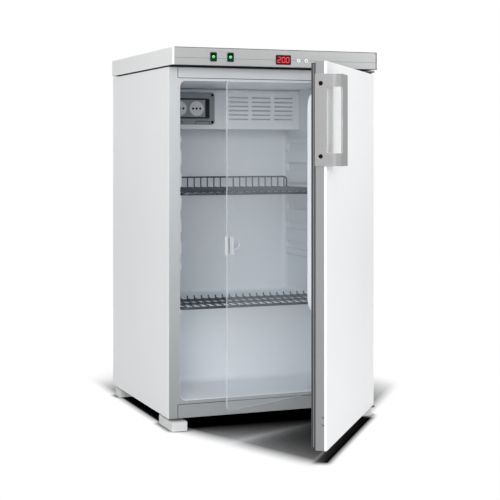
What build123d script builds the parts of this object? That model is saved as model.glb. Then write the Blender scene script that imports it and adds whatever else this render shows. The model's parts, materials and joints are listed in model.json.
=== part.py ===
from build123d import *
import math
import os

# Cooled laboratory incubator for use under a bench, in millimetres.
# X runs to the right, Y to the back and Z up. The origin is on the floor, under the middle of the lid.
# The rest pose has the outer door wide open and the clear inner door ajar.

# Cabinet
cabinet_width = 504.0
cabinet_bottom = 26.0
cabinet_top = 812.0
cabinet_rear = 246.5
sheet = 1.2
return_width = 21.5
top_rail_height = 24.0
kick_height = 30.5

# Lid with the control panel in its front edge
lid_width = 508.0
lid_depth = 501.0
lid_height = 39.7
lid_gap = 3.3
lid_spacer_inset = 16.0
lid_spacer_width = 24.0
fascia_width = 498.7
fascia_thickness = 2.0
fascia_edge_radius = 0.8
lid_edge_radius = 2.0
bay_left = -190.0
bay_right = 112.0
bay_depth = 44.0
bay_roof = 5.0
bay_floor = 3.0

# Door
door_width = 496.5
door_right = 247.0
door_bottom = 27.3
door_top = 803.6
door_depth = 23.4
door_skin = 1.2
door_profile_width = 12.0
door_cap_height = 12.0
door_liner_thickness = 1.5
door_edge_radius = 2.5
door_open_angle = 52.33
pivot_inset = 11.0
pivot_setback = 6.0
gasket_depth = 9.1
gasket_width = 18.0
gasket_inset = 3.0
gasket_hinge_inset = 12.5
gasket_groove = 2.0
bulge_inset = 44.0
bulge_bottom = 281.0
bulge_top = 756.0
bulge_depth = 31.6
bulge_taper = 14.0
bulge_corner_radius = 48.0
bulge_edge_radius = 8.0

# Opening and cavity
opening_width = 449.0
opening_bottom = 66.0
opening_top = 782.0
opening_radius = 14.0
lip_radius = 2.0
recess_depth = 31.5
cavity_width = 429.0
cavity_depth = 429.5
cavity_corner_radius = 16.0
lower_depth = 209.5
step_height = 190.0
cove_radius = 19.0
liner_thickness = 2.5
liner_flange_width = 9.5
liner_flange_top = 6.0

# Moulded shelf supports
ladder_thickness = 8.0
ladder_bottom = 352.0
ladder_top = 659.0
ladder_front_setback = 46.0
ladder_rear_gap = 16.5
ladder_backing = 1.0
groove_height = 20.0
groove_pitch = 51.3
groove_rear_gap = 22.5
upper_shelf_level = 522.5
lower_rest_level = 262.0
lower_rest_height = 14.0
lower_rest_thickness = 9.0

# Wire shelves
frame_wire_radius = 3.2
cross_wire_radius = 1.6
rail_wire_radius = 2.0
brace_wire_radius = 2.5
wire_pitch = 17.9
frame_corner_setback = 7.0
rail_corner_setback = 5.0
weld_depth = 0.25
shelf_side_gap = 1.6
shelf_front_setback = 43.0
upper_shelf_depth = 358.0
lower_shelf_depth = 150.0
guard_height = 24.5
stub_height = 7.0
touch_gap = 0.02
seat_gap = 0.2

# Fan and evaporator cover with its socket box
cover_depth = 92.0
cover_bottom = 679.0
cover_wall = 2.0
cover_gap = 1.0
cover_top_radius = 10.0
cover_edge_radius = 3.0
vent_left = 18.0
vent_columns = 3
vent_column_pitch = 62.0
vent_slot_length = 52.0
vent_slot_height = 4.6
vent_rows = 6
vent_row_pitch = 11.0
vent_centre_height = 732.0
intake_slots = 14
intake_pitch = 26.0
intake_slot_length = 50.0
intake_slot_width = 6.0
socket_box_centre_x = -92.8
socket_box_centre_z = 731.0
socket_box_width = 138.0
socket_box_height = 81.0
socket_box_front = 8.0
socket_box_radius = 7.0
socket_body_depth = 38.0
socket_body_margin = 9.0
socket_wall = 2.0
socket_window_width = 108.0
socket_window_height = 49.0
socket_seal_width = 3.0
socket_module_pitch = 44.8
socket_module_depth = 26.0
socket_module_setback = 3.5
socket_recess_radius = 19.0
socket_recess_depth = 2.0
socket_pin_pitch = 19.0
socket_pin_radius = 2.6
socket_hole_depth = 14.0
socket_screw_radius = 3.5
socket_screw_inset = 6.5
latch_width = 37.0
latch_height = 8.0
latch_depth = 1.6
latch_line = 1.4
latch_offset = 36.5

# Air circulation behind the cover
fan_centre_x = 112.0
fan_centre_z = 731.0
fan_size = 80.0
fan_depth = 25.0
fan_standoff = 12.0
fan_bore_radius = 36.5
fan_hub_radius = 13.0
fan_blade_radius = 35.0
fan_blades = 7
fan_blade_width = 16.0
fan_blade_thickness = 1.6
fan_blade_pitch_angle = 32.0
fan_shaft_radius = 1.5
running_clearance = 0.05
motor_radius = 15.0
motor_depth = 9.0
evaporator_fins = 11
evaporator_fin_thickness = 1.2
evaporator_fin_pitch = 16.0
evaporator_height = 84.0
evaporator_depth = 30.0
evaporator_tube_radius = 4.0
evaporator_back_gap = 3.0
heater_radius = 3.3
heater_bend = 9.0
heater_width = 90.0
heater_height = 44.0
heater_centre_x = -10.0
probe_radius = 3.0
probe_length = 50.0

# Inner door
inner_open_angle = 26.2
inner_pivot_inset = 5.0
inner_pivot_setback = 4.5
inner_panel_thickness = 4.0
inner_reach = 441.0
inner_bottom_gap = 3.0
inner_top_gap = 6.0
inner_corner_radius = 13.0
inner_profile_radius = 4.0
inner_profile_grip = 14.0
inner_profile_thickness = 8.0
inner_profile_gap = 9.5
inner_pin_radius = 2.0
inner_pin_length = 3.5
finger_hole_radius = 10.0
finger_hole_inset = 29.0
finger_hole_height = 424.0
catch_height = 39.5
catch_width = 17.5
catch_thickness = 2.0
catch_magnet_depth = 4.0

# Handle
handle_bottom = 594.0
handle_top = 778.0
handle_thickness = 3.0
handle_reach = 30.0
handle_grip_width = 60.0
handle_bend_radius = 17.0
handle_window_bottom = 620.0
handle_window_top = 752.0
handle_window_wrap = 12.0
handle_corner_radius = 4.0
handle_screw_radius = 4.5
handle_screw_heights = (613.6, 759.0)

# Outer hinges
hinge_plate_width = 31.0
hinge_plate_overhang = 9.0
hinge_plate_thickness = 3.5
hinge_plate_edge = 2.0
hinge_tab_height = 10.0
hinge_tail = 30.0
hinge_pin_radius = 3.5
hinge_gap = 0.3
hinge_pin_length = 11.0
bush_wall = 1.8
bush_length = 10.0

# Controls
rocker_positions = (-157.6, -117.1)
rocker_height = 834.5
bezel_width = 15.4
bezel_height = 20.6
bezel_front = 1.6
bezel_radius = 2.0
bezel_body_margin = 1.4
bezel_body_depth = 24.0
rocker_width = 9.6
rocker_length = 14.0
rocker_gap = 0.5
rocker_depth = 9.0
rocker_crown = 3.0
rocker_angle = 8.0
rocker_axle_radius = 1.2
rocker_axle_setback = 4.0
display_centre_x = 11.8
display_centre_z = 831.8
display_width = 37.1
display_height = 22.1
display_front = 1.2
display_radius = 2.0
display_body_depth = 20.0
button_positions = (49.4, 68.7)
button_height = 830.7
button_radius = 4.6
button_front = 1.8
button_travel = 1.0
button_hole_gap = 0.4
button_collar = 1.4
button_collar_thickness = 1.0
board_left = -14.0
board_right = 96.0
board_thickness = 1.6
board_margin = 4.0
switch_body_size = 6.0
board_stand_radius = 2.5

# Feet
foot_height = 20.0
foot_width = 37.0
foot_inset = 4.0
front_foot_length = 102.0
front_foot_reach = 13.3
rear_foot_length = 40.0
rear_foot_setback = 6.5
foot_radius = 5.0
foot_neck_inset = 4.0
foot_neck_setback = 46.0

# Cooling set in the niche behind the step
niche_wall = 40.0
compressor_x = 70.0
compressor_radius = 72.0
compressor_height = 150.0
compressor_gap = 12.0
compressor_dome = 42.0
compressor_dome_angle = 78.0
compressor_dome_steps = 5
compressor_base_radius = 20.0
seam_width = 3.0
seam_height = 6.0
foot_spread = 62.0
grommet_radius = 9.0
grommet_height = 10.0
rail_plate_thickness = 2.0
rail_plate_width = 190.0
rail_plate_depth = 170.0
relay_width = 34.0
relay_depth = 52.0
relay_height = 62.0
tube_radius = 3.0
discharge_bend = 7.0
condenser_tube_radius = 2.5
condenser_wire_radius = 0.9
condenser_width = 400.0
condenser_bottom = 276.0
condenser_pitch = 44.0
condenser_passes = 12
condenser_standoff = 22.0
condenser_wires = 26
condenser_wire_pitch = 14.5
clip_width = 14.0
clip_height = 9.0
drier_radius = 9.0
drier_length = 90.0
drier_x = -120.0
junction_width = 84.0
junction_depth = 70.0
junction_height = 92.0
junction_x = -196.0
inlet_width = 28.0
inlet_height = 22.0
inlet_depth = 12.0
inlet_flange = 3.0
inlet_pin_gap = 7.0
inlet_pin_width = 2.0
inlet_pin_height = 5.0
inlet_wall = 2.0
inlet_flange_thickness = 1.8

# Planes that the sizes above settle
lid_front = -lid_depth / 2
lid_rear = lid_depth / 2
lid_bottom = cabinet_top + lid_gap
lid_top = lid_bottom + lid_height
cabinet_half = cabinet_width / 2
cabinet_front = lid_front + door_depth + gasket_depth
shoulder_y = cabinet_front + recess_depth
cavity_back = cabinet_front + cavity_depth
cavity_half = cavity_width / 2
step_face = cabinet_front + lower_depth
step_top = opening_bottom + step_height
niche_front = step_face + niche_wall
niche_top = step_top - niche_wall
column_inner = cabinet_half - return_width
door_back = lid_front + door_depth
door_left = door_right - door_width
pivot_x = door_right - pivot_inset
pivot_y = lid_front + pivot_setback
inner_pivot_x = opening_width / 2 - inner_pivot_inset
inner_pivot_y = shoulder_y - inner_pivot_setback
inner_bottom = opening_bottom + inner_bottom_gap
inner_top = opening_top - inner_top_gap
cover_front = cavity_back - cover_depth
cover_top = opening_top - cover_gap
cover_half = cavity_half - cover_gap
shelf_half = cavity_half - shelf_side_gap - frame_wire_radius
shelf_front = shoulder_y + shelf_front_setback - recess_depth
floor_plate = cabinet_bottom + sheet
compressor_y = (niche_front + cabinet_rear) / 2
condenser_y = cabinet_rear + condenser_standoff


def block(x0, x1, y0, y1, z0, z1):
    """A box between two corners."""
    middle = Pos((x0 + x1) / 2, (y0 + y1) / 2, (z0 + z1) / 2)
    return middle * Box(x1 - x0, y1 - y0, z1 - z0)


def rod(x, y, z, radius, length, direction="Z"):
    """A round bar that starts at a point and runs along one axis."""
    turn = {"X": Rot(0, 90, 0), "Y": Rot(-90, 0, 0), "Z": Rot(0, 0, 0)}[direction]
    bar = Cylinder(radius, length, align=(Align.CENTER, Align.CENTER, Align.MIN))
    return Pos(x, y, z) * turn * bar


def front_plate(x, z, width, height, y0, y1, radius):
    """A plate that faces the front, with round corners."""
    plane = Plane(origin=(x, y1, z), x_dir=(1, 0, 0), z_dir=(0, -1, 0))
    return extrude(plane * RectangleRounded(width, height, radius), y1 - y0)


def cut_corners(points, setback):
    """The same route with each corner cut by a short straight."""
    route = [Vector(*points[0])]
    for before, corner, after in zip(points, points[1:], points[2:]):
        corner = Vector(*corner)
        route.append(corner + (Vector(*before) - corner).normalized() * setback)
        route.append(corner + (Vector(*after) - corner).normalized() * setback)
    return route + [Vector(*points[-1])]


def wire(points, wire_radius, setback=0.0, sides=8):
    """A wire along straight runs, with mitred bends and a many-sided section."""
    route = cut_corners(points, setback) if setback else points
    path = Polyline(*route) if len(route) > 2 else Line(*route)
    section = Plane(origin=path @ 0, z_dir=path % 0) * RegularPolygon(wire_radius, sides)
    return sweep(section, path=path, transition=Transition.RIGHT)


def turned_about(shape, x, y, angle):
    """The shape turned about a vertical axis."""
    return Pos(x, y, 0) * Rot(0, 0, angle) * Pos(-x, -y, 0) * shape


def on_door(shape):
    """Swings a piece of the closed outer door to its rest pose."""
    return turned_about(shape, pivot_x, pivot_y, door_open_angle)


def on_inner_door(shape):
    """Swings a piece of the closed inner door to its rest pose."""
    return turned_about(shape, inner_pivot_x, inner_pivot_y, inner_open_angle)


def spread(count, pitch):
    """Positions of a centred row."""
    return [(i - (count - 1) / 2) * pitch for i in range(count)]


def side_panel(side):
    """Steel side of the cabinet, turned in at the front to make the narrow column."""
    inside = cabinet_half - sheet
    x0, x1 = sorted((side * inside, side * cabinet_half))
    panel = block(x0, x1, cabinet_front, cabinet_rear, cabinet_bottom, cabinet_top)
    x0, x1 = sorted((side * column_inner, side * inside))
    panel += block(x0, x1, cabinet_front, cabinet_front + sheet, cabinet_bottom, cabinet_top - sheet)
    front = panel.edges().filter_by(Axis.Z).filter_by_position(Axis.Y, cabinet_front, cabinet_front)
    return fillet(front.sort_by(Axis.X)[-1 if side > 0 else 0], sheet * 0.9)


def top_panel():
    """Steel sheet on top of the foam, under the lid."""
    inside = cabinet_half - sheet
    return block(-inside, inside, cabinet_front, cabinet_rear, cabinet_top - sheet, cabinet_top)


def front_top_rail():
    """Rail across the front above the opening, with a flange turned in."""
    bottom = opening_top + liner_flange_top
    rail = block(-column_inner, column_inner, cabinet_front, cabinet_front + sheet, bottom, cabinet_top - sheet)
    return rail + block(
        -column_inner, column_inner, cabinet_front, cabinet_front + liner_thickness - 0.5,
        cabinet_top - 2 * sheet, cabinet_top - sheet,
    )


def front_kick_panel():
    """Panel across the front below the opening."""
    return block(
        -column_inner, column_inner, cabinet_front, cabinet_front + sheet,
        cabinet_bottom, cabinet_bottom + kick_height,
    )


def back_panel():
    """Sheet behind the foam, above the niche."""
    inside = cabinet_half - sheet
    return block(-inside, inside, cabinet_rear - sheet, cabinet_rear, niche_top, cabinet_top - sheet)


def base_pan():
    """Floor sheet of the cabinet."""
    inside = cabinet_half - sheet
    return block(-inside, inside, cabinet_front + sheet, cabinet_rear, cabinet_bottom, floor_plate)


def niche_panel():
    """Bent sheet that closes the foam towards the compressor niche."""
    inside = cabinet_half - sheet
    wall = block(-inside, inside, niche_front, niche_front + sheet, floor_plate, niche_top)
    roof = block(-inside, inside, niche_front, cabinet_rear - sheet, niche_top, niche_top + sheet)
    return wall + roof


def liner_block():
    """Outside of the liner: recess, upper cavity and the part before the step."""
    t = liner_thickness
    half = opening_width / 2 + t
    low, high = opening_bottom - t, opening_top + t
    solid = block(-half, half, cabinet_front, shoulder_y + t, low, high)
    solid += block(-cavity_half - t, cavity_half + t, cabinet_front, step_face + t, low, high)
    solid += block(-cavity_half - t, cavity_half + t, cabinet_front, cavity_back + t, step_top - t, high)
    return solid


def cavity_space():
    """Inside of the liner, with its round corners."""
    tall = opening_top - opening_bottom
    middle = (opening_top + opening_bottom) / 2
    mouth = front_plate(0, middle, opening_width, tall, cabinet_front, shoulder_y, opening_radius)
    main = block(-cavity_half, cavity_half, shoulder_y, step_face, opening_bottom, opening_top)
    main += block(-cavity_half, cavity_half, shoulder_y, cavity_back, step_top, opening_top)
    upright = main.edges().filter_by(Axis.Z).filter_by_position(Axis.Y, cavity_back, cavity_back)
    main = fillet(upright, cavity_corner_radius)
    lengthwise = main.edges().filter_by(Axis.X)
    cove = lengthwise.filter_by_position(Axis.Y, step_face, step_face)
    cove = cove.filter_by_position(Axis.Z, opening_bottom, opening_bottom)
    main = fillet(cove, cove_radius)
    shelf_line = main.edges().filter_by(Axis.X).filter_by_position(Axis.Y, cavity_back, cavity_back)
    main = fillet(shelf_line.filter_by_position(Axis.Z, step_top, step_top), cove_radius / 2)
    return mouth + main


def ladder(side):
    """Moulded panel on one side wall, with grooves that the upper shelf slides in."""
    inner = side * (cavity_half - ladder_thickness)
    wall = side * cavity_half
    front = shoulder_y + ladder_front_setback - recess_depth
    rear = cavity_back - ladder_rear_gap
    x0, x1 = sorted((inner, wall))
    panel = block(x0, x1, front, rear, ladder_bottom, ladder_top)
    face = panel.faces().sort_by(Axis.X)[0 if side > 0 else -1]
    level = [edge for edge in face.edges() if abs(edge.center().Z - (ladder_bottom + ladder_top) / 2) > 1]
    panel = chamfer(level, ladder_thickness * 0.45)
    steps_down = int((upper_shelf_level - ladder_bottom) // groove_pitch)
    steps_up = int((ladder_top - upper_shelf_level - groove_height) // groove_pitch)
    g0, g1 = sorted((inner - side, side * (cavity_half - ladder_backing)))
    for step in range(-steps_down, steps_up + 1):
        floor = upper_shelf_level + step * groove_pitch
        groove = block(g0, g1, front - 1, cavity_back - groove_rear_gap, floor, floor + groove_height)
        panel -= groove
    return panel


def lower_rest(side):
    """Moulded ledge on one side wall that carries the lower shelf."""
    x0, x1 = sorted((side * (cavity_half - lower_rest_thickness), side * cavity_half))
    front = shoulder_y + ladder_front_setback - recess_depth
    ledge = block(x0, x1, front, step_face, lower_rest_level - lower_rest_height, lower_rest_level)
    face = ledge.faces().sort_by(Axis.X)[0 if side > 0 else -1]
    under = face.edges().filter_by(Axis.Y).sort_by(Axis.Z)[0]
    return chamfer([under], lower_rest_thickness * 0.7)


def inner_liner():
    """Moulded liner with its front flange, step and round corners."""
    wide = 2 * column_inner
    low = opening_bottom - liner_flange_width
    high = opening_top + liner_flange_top
    flange = block(-wide / 2, wide / 2, cabinet_front, cabinet_front + liner_thickness, low, high)
    liner = liner_block() + flange - cavity_space()
    mouth = liner.edges().filter_by_position(Axis.Y, cabinet_front, cabinet_front)
    inside = [
        edge for edge in mouth
        if abs(edge.center().X) < opening_width / 2 + 0.1
        and opening_bottom - 0.1 < edge.center().Z < opening_top + 0.1
    ]
    return fillet(inside, lip_radius)


def shelf_supports():
    """Ladders for the upper shelf and ledges for the lower one, on both side walls."""
    return [make(side) for make in (ladder, lower_rest) for side in (-1, 1)]


def cabinet_insulation():
    """Foam between the steel and the liner, cut away for the niche."""
    inside = cabinet_half - sheet
    foam = block(
        -inside, inside, cabinet_front + liner_thickness, cabinet_rear - sheet,
        floor_plate, cabinet_top - sheet,
    )
    foam -= block(-inside, inside, niche_front, cabinet_rear, floor_plate, niche_top + sheet)
    return foam - liner_block()


def evaporator_cover():
    """Moulded cover across the back, with air slots and a cut-out for the socket box."""
    cover = block(-cover_half, cover_half, cover_front, cavity_back, cover_bottom, cover_top)
    front = cover.edges().filter_by(Axis.X).filter_by_position(Axis.Y, cover_front, cover_front)
    cover = fillet(front.sort_by(Axis.Z)[-1], cover_top_radius)
    front = cover.edges().filter_by(Axis.X).sort_by(Axis.Y)
    cover = fillet(front.sort_by(Axis.Z)[0:1], cover_edge_radius)
    w = cover_wall
    cover -= block(
        -cover_half + w, cover_half - w, cover_front + cover_top_radius, cavity_back + 1,
        cover_bottom + w, cover_top - w,
    )
    cover -= block(
        -cover_half + w, cover_half - w, cover_front + w, cavity_back,
        cover_bottom + w, cover_top - cover_top_radius,
    )
    for column in range(vent_columns):
        x = vent_left + vent_slot_length / 2 + column * vent_column_pitch
        for dz in spread(vent_rows, vent_row_pitch):
            slot = Pos(x, cover_front + w / 2, vent_centre_height + dz)
            cover -= slot * Box(vent_slot_length, 3 * w, vent_slot_height)
    notch = cavity_corner_radius + cover_gap
    for side in (-1, 1):
        x0, x1 = sorted((side * (cover_half - notch), side * (cover_half + 1)))
        cover -= block(x0, x1, cavity_back - notch, cavity_back + 1, cover_bottom - 1, cover_top + 1)
    middle = (cover_front + cavity_back) / 2
    for x in spread(intake_slots, intake_pitch):
        slot = Pos(x, middle, cover_bottom + w / 2)
        cover -= slot * Box(intake_slot_width, intake_slot_length, 3 * w)
    cut_width = socket_box_width - 2 * socket_body_margin + 1
    cut_height = socket_box_height - 2 * socket_body_margin + 1
    cover -= front_plate(
        socket_box_centre_x, socket_box_centre_z, cut_width, cut_height,
        cover_front - 1, cover_front + w + 1, socket_box_radius / 2,
    )
    return cover


def socket_screw_places():
    """Corners of the socket box where its screws sit."""
    dx = socket_box_width / 2 - socket_screw_inset
    dz = socket_box_height / 2 - socket_screw_inset
    return [
        (socket_box_centre_x + i * dx, socket_box_centre_z + j * dz)
        for i in (-1, 1) for j in (-1, 1)
    ]


def socket_box():
    """Frame and body of the socket box, with its window and two latches."""
    x, z = socket_box_centre_x, socket_box_centre_z
    face = cover_front - socket_box_front
    box = front_plate(x, z, socket_box_width, socket_box_height, face, cover_front, socket_box_radius)
    box = chamfer(box.edges().filter_by_position(Axis.Y, face, face), 2.0)
    width = socket_box_width - 2 * socket_body_margin
    height = socket_box_height - 2 * socket_body_margin
    box += front_plate(x, z, width, height, cover_front - 1, cover_front + socket_body_depth, 3.0)
    box -= block(
        x - width / 2 + socket_wall, x + width / 2 - socket_wall, face + socket_module_setback + 1,
        cover_front + socket_body_depth - socket_wall,
        z - height / 2 + socket_wall, z + height / 2 - socket_wall,
    )
    box -= front_plate(x, z, socket_window_width, socket_window_height, face - 1, cover_front, 2.0)
    for sx, sz in socket_screw_places():
        box -= rod(sx, face - 1, sz, socket_screw_radius, 3.0, "Y")
    for side in (-1, 1):
        centre = x + side * latch_offset
        middle = z - socket_box_height / 2 + 1 + latch_height / 2
        back = face + latch_depth
        tab = front_plate(centre, middle, latch_width, latch_height, face - 1, back, 3.0)
        inner = front_plate(
            centre, middle - latch_line, latch_width - 2 * latch_line, latch_height - latch_line,
            face - 1.1, back + 0.1, 2.5,
        )
        box -= tab - inner
    return box


def socket_window_seal():
    """Dark seal between the window and the two sockets."""
    x, z = socket_box_centre_x, socket_box_centre_z
    face = cover_front - socket_box_front + 0.8
    ring = front_plate(x, z, socket_window_width - 0.2, socket_window_height - 0.2, face, face + 2.5, 1.9)
    width = socket_window_width - 2 * socket_seal_width
    height = socket_window_height - 2 * socket_seal_width
    return ring - front_plate(x, z, width, height, face - 1, face + 4, 1.0)


def socket_modules():
    """Two mains sockets side by side."""
    solids = []
    face = cover_front - socket_box_front + socket_module_setback
    height = socket_window_height - 0.6
    for side in (-1, 1):
        x = socket_box_centre_x + side * socket_module_pitch / 2
        z = socket_box_centre_z
        module = block(
            x - socket_module_pitch / 2 + 0.1, x + socket_module_pitch / 2 - 0.1,
            face, face + socket_module_depth, z - height / 2, z + height / 2,
        )
        module -= rod(x, face - 1, z, socket_recess_radius, 1 + socket_recess_depth, "Y")
        for dx in (-socket_pin_pitch / 2, 0, socket_pin_pitch / 2):
            module -= rod(x + dx, face - 1, z, socket_pin_radius, socket_hole_depth, "Y")
        solids.append(module)
    return solids


def socket_screws():
    """Four screws that hold the socket box."""
    face = cover_front - socket_box_front
    return [
        rod(x, face + 0.6, z, socket_screw_radius - 0.1, 1.4, "Y") for x, z in socket_screw_places()
    ]


def fan_frame():
    """Square fan frame with its motor on three struts, screwed behind the cover."""
    x, z = fan_centre_x, fan_centre_z
    front = cover_front + fan_standoff
    frame = front_plate(x, z, fan_size, fan_size, front, front + fan_depth, 6.0)
    frame -= rod(x, front - 1, z, fan_bore_radius, fan_depth + 2, "Y")
    back = front + fan_depth
    for angle in (90, 210, 330):
        strut = block(motor_radius - 1, fan_bore_radius + 1, -2.5, 2.5, -1.5, 1.5)
        frame += Pos(x, back - 1.5, z) * Rot(90, 0, 0) * Rot(0, 0, angle) * strut
    motor = rod(x, back - motor_depth, z, motor_radius, motor_depth, "Y")
    motor -= rod(x, back - motor_depth - 1, z, fan_shaft_radius + running_clearance, motor_depth, "Y")
    frame += motor
    for i in (-1, 1):
        for j in (-1, 1):
            reach = fan_size / 2 - 5.5
            frame += rod(x + i * reach, cover_front + cover_wall, z + j * reach, 4.0, fan_standoff, "Y")
    return frame


def fan_impeller():
    """Axial impeller with its shaft."""
    x, z = fan_centre_x, fan_centre_z
    front = cover_front + fan_standoff + 1.0
    back = cover_front + fan_standoff + fan_depth - motor_depth
    hub = rod(x, front, z, fan_hub_radius, back - 1 - front, "Y")
    middle = (front + back - 1) / 2
    depth = min(fan_blade_width, (back - 1 - front) / math.sin(math.radians(90 - fan_blade_pitch_angle)) - 3)
    for i in range(fan_blades):
        blade = block(
            fan_hub_radius - 1, fan_blade_radius, -fan_blade_thickness / 2, fan_blade_thickness / 2,
            -depth / 2, depth / 2,
        )
        tilted = Rot(fan_blade_pitch_angle, 0, 0) * blade
        hub += Pos(x, middle, z) * Rot(90, 0, 0) * Rot(0, 0, i * 360 / fan_blades) * tilted
    hub += rod(x, back - 2, z, fan_shaft_radius, motor_depth - 1, "Y")
    return hub


def evaporator():
    """Finned coil against the back wall: fins on two tube passes joined at the ends."""
    z = (cover_bottom + cover_top) / 2
    back = cavity_back - evaporator_back_gap
    front = back - evaporator_depth
    middle = (front + back) / 2
    places = spread(evaporator_fins, evaporator_fin_pitch)
    half = places[-1] + evaporator_fin_pitch
    rise = evaporator_height / 4
    runs = [(half, -rise), (-half, -rise), (-half, rise), (half, rise)]
    points = [(x, middle, z + dz) for x, dz in runs]
    coil = wire(points, evaporator_tube_radius, setback=rise / 2)
    for x in places:
        t = evaporator_fin_thickness / 2
        coil += block(x - t, x + t, front, back, z - evaporator_height / 2, z + evaporator_height / 2)
    for x in (places[0], places[-1]):
        t = evaporator_fin_pitch / 4
        coil += block(x - t, x + t, back - 1, cavity_back, z - 12, z + 12)
    return coil


def heater_element():
    """U-shaped tube heater with its two feet on the cover's floor."""
    y = cover_front + fan_standoff + fan_depth + 6
    low = cover_bottom + cover_wall
    left = heater_centre_x - heater_width / 2
    right = heater_centre_x + heater_width / 2
    points = [
        (left, y, low), (left, y, low + heater_height), (right, y, low + heater_height), (right, y, low),
    ]
    return wire(points, heater_radius, setback=heater_bend)


def temperature_probe():
    """Probe that stands on the cover's floor in the return air."""
    x = -cover_half + 30
    y = cover_front + cover_depth / 2
    foot = cover_bottom + cover_wall
    body = rod(x, y, foot, probe_radius, probe_length)
    body = chamfer(body.edges().sort_by(Axis.Z)[-1], probe_radius * 0.6)
    return body + rod(x, y, foot, probe_radius * 2, 6.0)


def shelf_grid(level, front, depth):
    """Welded grid of one shelf: a frame, a brace and cross wires on top."""
    r, c = frame_wire_radius, cross_wire_radius
    rear = front + depth
    z = level + seat_gap + r
    ring = [
        (0, front, z), (shelf_half, front, z), (shelf_half, rear, z),
        (-shelf_half, rear, z), (-shelf_half, front, z), (0, front, z),
    ]
    grid = wire(ring, r, setback=frame_corner_setback)
    brace_z = z + r - brace_wire_radius
    brace = [(-shelf_half, (front + rear) / 2, brace_z), (shelf_half, (front + rear) / 2, brace_z)]
    grid += wire(brace, brace_wire_radius)
    top = z + r + c - weld_depth
    cross = [wire([(x, front - c, top), (x, rear + c, top)], c, sides=6) for x in cross_wire_places()]
    return grid + cross


def cross_wire_places():
    """Where the cross wires lie across the shelf."""
    count = int((2 * shelf_half - 2 * frame_corner_setback) // wire_pitch) + 1
    return spread(count, wire_pitch)


def cross_wire_top(level):
    """Height of the middle of a shelf's cross wires."""
    return level + seat_gap + 2 * frame_wire_radius + cross_wire_radius - weld_depth


def uprights(level, rear, rise):
    """The cross wires' ends, turned up at the back of the shelf."""
    low = cross_wire_top(level) + cross_wire_radius
    return [
        wire([(x, rear, low), (x, rear, low + rise)], cross_wire_radius, sides=6)
        for x in cross_wire_places()
    ]


def guard_rail(level, rear):
    """Rail at the back of the upper shelf, with the upturned ends welded to it."""
    r = rail_wire_radius
    low = cross_wire_top(level) + cross_wire_radius
    side = shelf_half - frame_wire_radius - r
    top = low + guard_height
    route = [(-side, rear, low), (-side, rear, top), (side, rear, top), (side, rear, low)]
    rail = wire(route, r, setback=rail_corner_setback)
    return rail + uprights(level, rear, guard_height)


def upper_shelf():
    """Deep shelf in the grooves, with a guard rail at its back."""
    rear = shelf_front + upper_shelf_depth
    return [
        shelf_grid(upper_shelf_level, shelf_front, upper_shelf_depth),
        guard_rail(upper_shelf_level, rear),
    ]


def lower_shelf():
    """Shallow shelf in front of the step, with its wires' ends turned up."""
    rear = shelf_front + lower_shelf_depth
    grid = shelf_grid(lower_rest_level, shelf_front, lower_shelf_depth)
    return grid + uprights(lower_rest_level, rear, stub_height)


def worktop():
    """Lid board with its control bay, a rebate for the panel and spacers underneath."""
    half = lid_width / 2
    board = block(-half, half, lid_front, lid_rear, lid_bottom, lid_top)
    top_edges = board.edges().filter_by_position(Axis.Z, lid_top, lid_top)
    board = fillet(top_edges + board.edges().filter_by(Axis.Z), lid_edge_radius)
    board -= block(
        -fascia_width / 2, fascia_width / 2, lid_front - 1, lid_front + fascia_thickness,
        lid_bottom - 1, lid_top + 1,
    )
    board -= block(
        bay_left, bay_right, lid_front, lid_front + bay_depth, lid_bottom + bay_floor, lid_top - bay_roof,
    )
    rim = half - lid_spacer_inset
    ring = block(-rim, rim, cabinet_front + 8, lid_rear - lid_spacer_inset, cabinet_top, lid_bottom)
    w = lid_spacer_width
    ring -= block(
        -rim + w, rim - w, cabinet_front + 8 + w, lid_rear - lid_spacer_inset - w, cabinet_top, lid_bottom,
    )
    return board + ring


def control_fascia():
    """Metal strip across the front of the lid, cut out for the controls."""
    strip = block(
        -fascia_width / 2, fascia_width / 2, lid_front, lid_front + fascia_thickness, lid_bottom, lid_top,
    )
    strip = fillet(strip.edges().filter_by_position(Axis.Y, lid_front, lid_front), fascia_edge_radius)
    margin = bezel_body_margin
    for x in rocker_positions:
        strip -= block(
            x - bezel_width / 2 + margin, x + bezel_width / 2 - margin, lid_front - 1,
            lid_front + fascia_thickness + 1,
            rocker_height - bezel_height / 2 + margin, rocker_height + bezel_height / 2 - margin,
        )
    strip -= block(
        display_centre_x - display_width / 2 + margin, display_centre_x + display_width / 2 - margin,
        lid_front - 1, lid_front + fascia_thickness + 1,
        display_centre_z - display_height / 2 + margin, display_centre_z + display_height / 2 - margin,
    )
    for x in button_positions:
        radius = button_radius + button_hole_gap
        strip -= rod(x, lid_front - 1, button_height, radius, fascia_thickness + 2, "Y")
    return strip


def switch_bezel(x):
    """Switch housing: a rim in front of the panel and a body behind it."""
    z = rocker_height
    rim = front_plate(x, z, bezel_width, bezel_height, lid_front - bezel_front, lid_front, bezel_radius)
    width = bezel_width - 2 * bezel_body_margin - 0.1
    height = bezel_height - 2 * bezel_body_margin - 0.1
    rim += block(
        x - width / 2, x + width / 2, lid_front - 0.1, lid_front + bezel_body_depth,
        z - height / 2, z + height / 2,
    )
    pocket_half = rocker_width / 2 + rocker_gap
    reach = rocker_length / 2 + rocker_gap
    rim -= block(
        x - pocket_half, x + pocket_half, lid_front - bezel_front - 1, lid_front + rocker_depth + 3,
        z - reach, z + reach,
    )
    axle = rocker_axle_radius + running_clearance
    span = 2 * pocket_half + 2.0
    return rim - rod(x - span / 2, lid_front + rocker_axle_setback, z, axle, span, "X")


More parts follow.
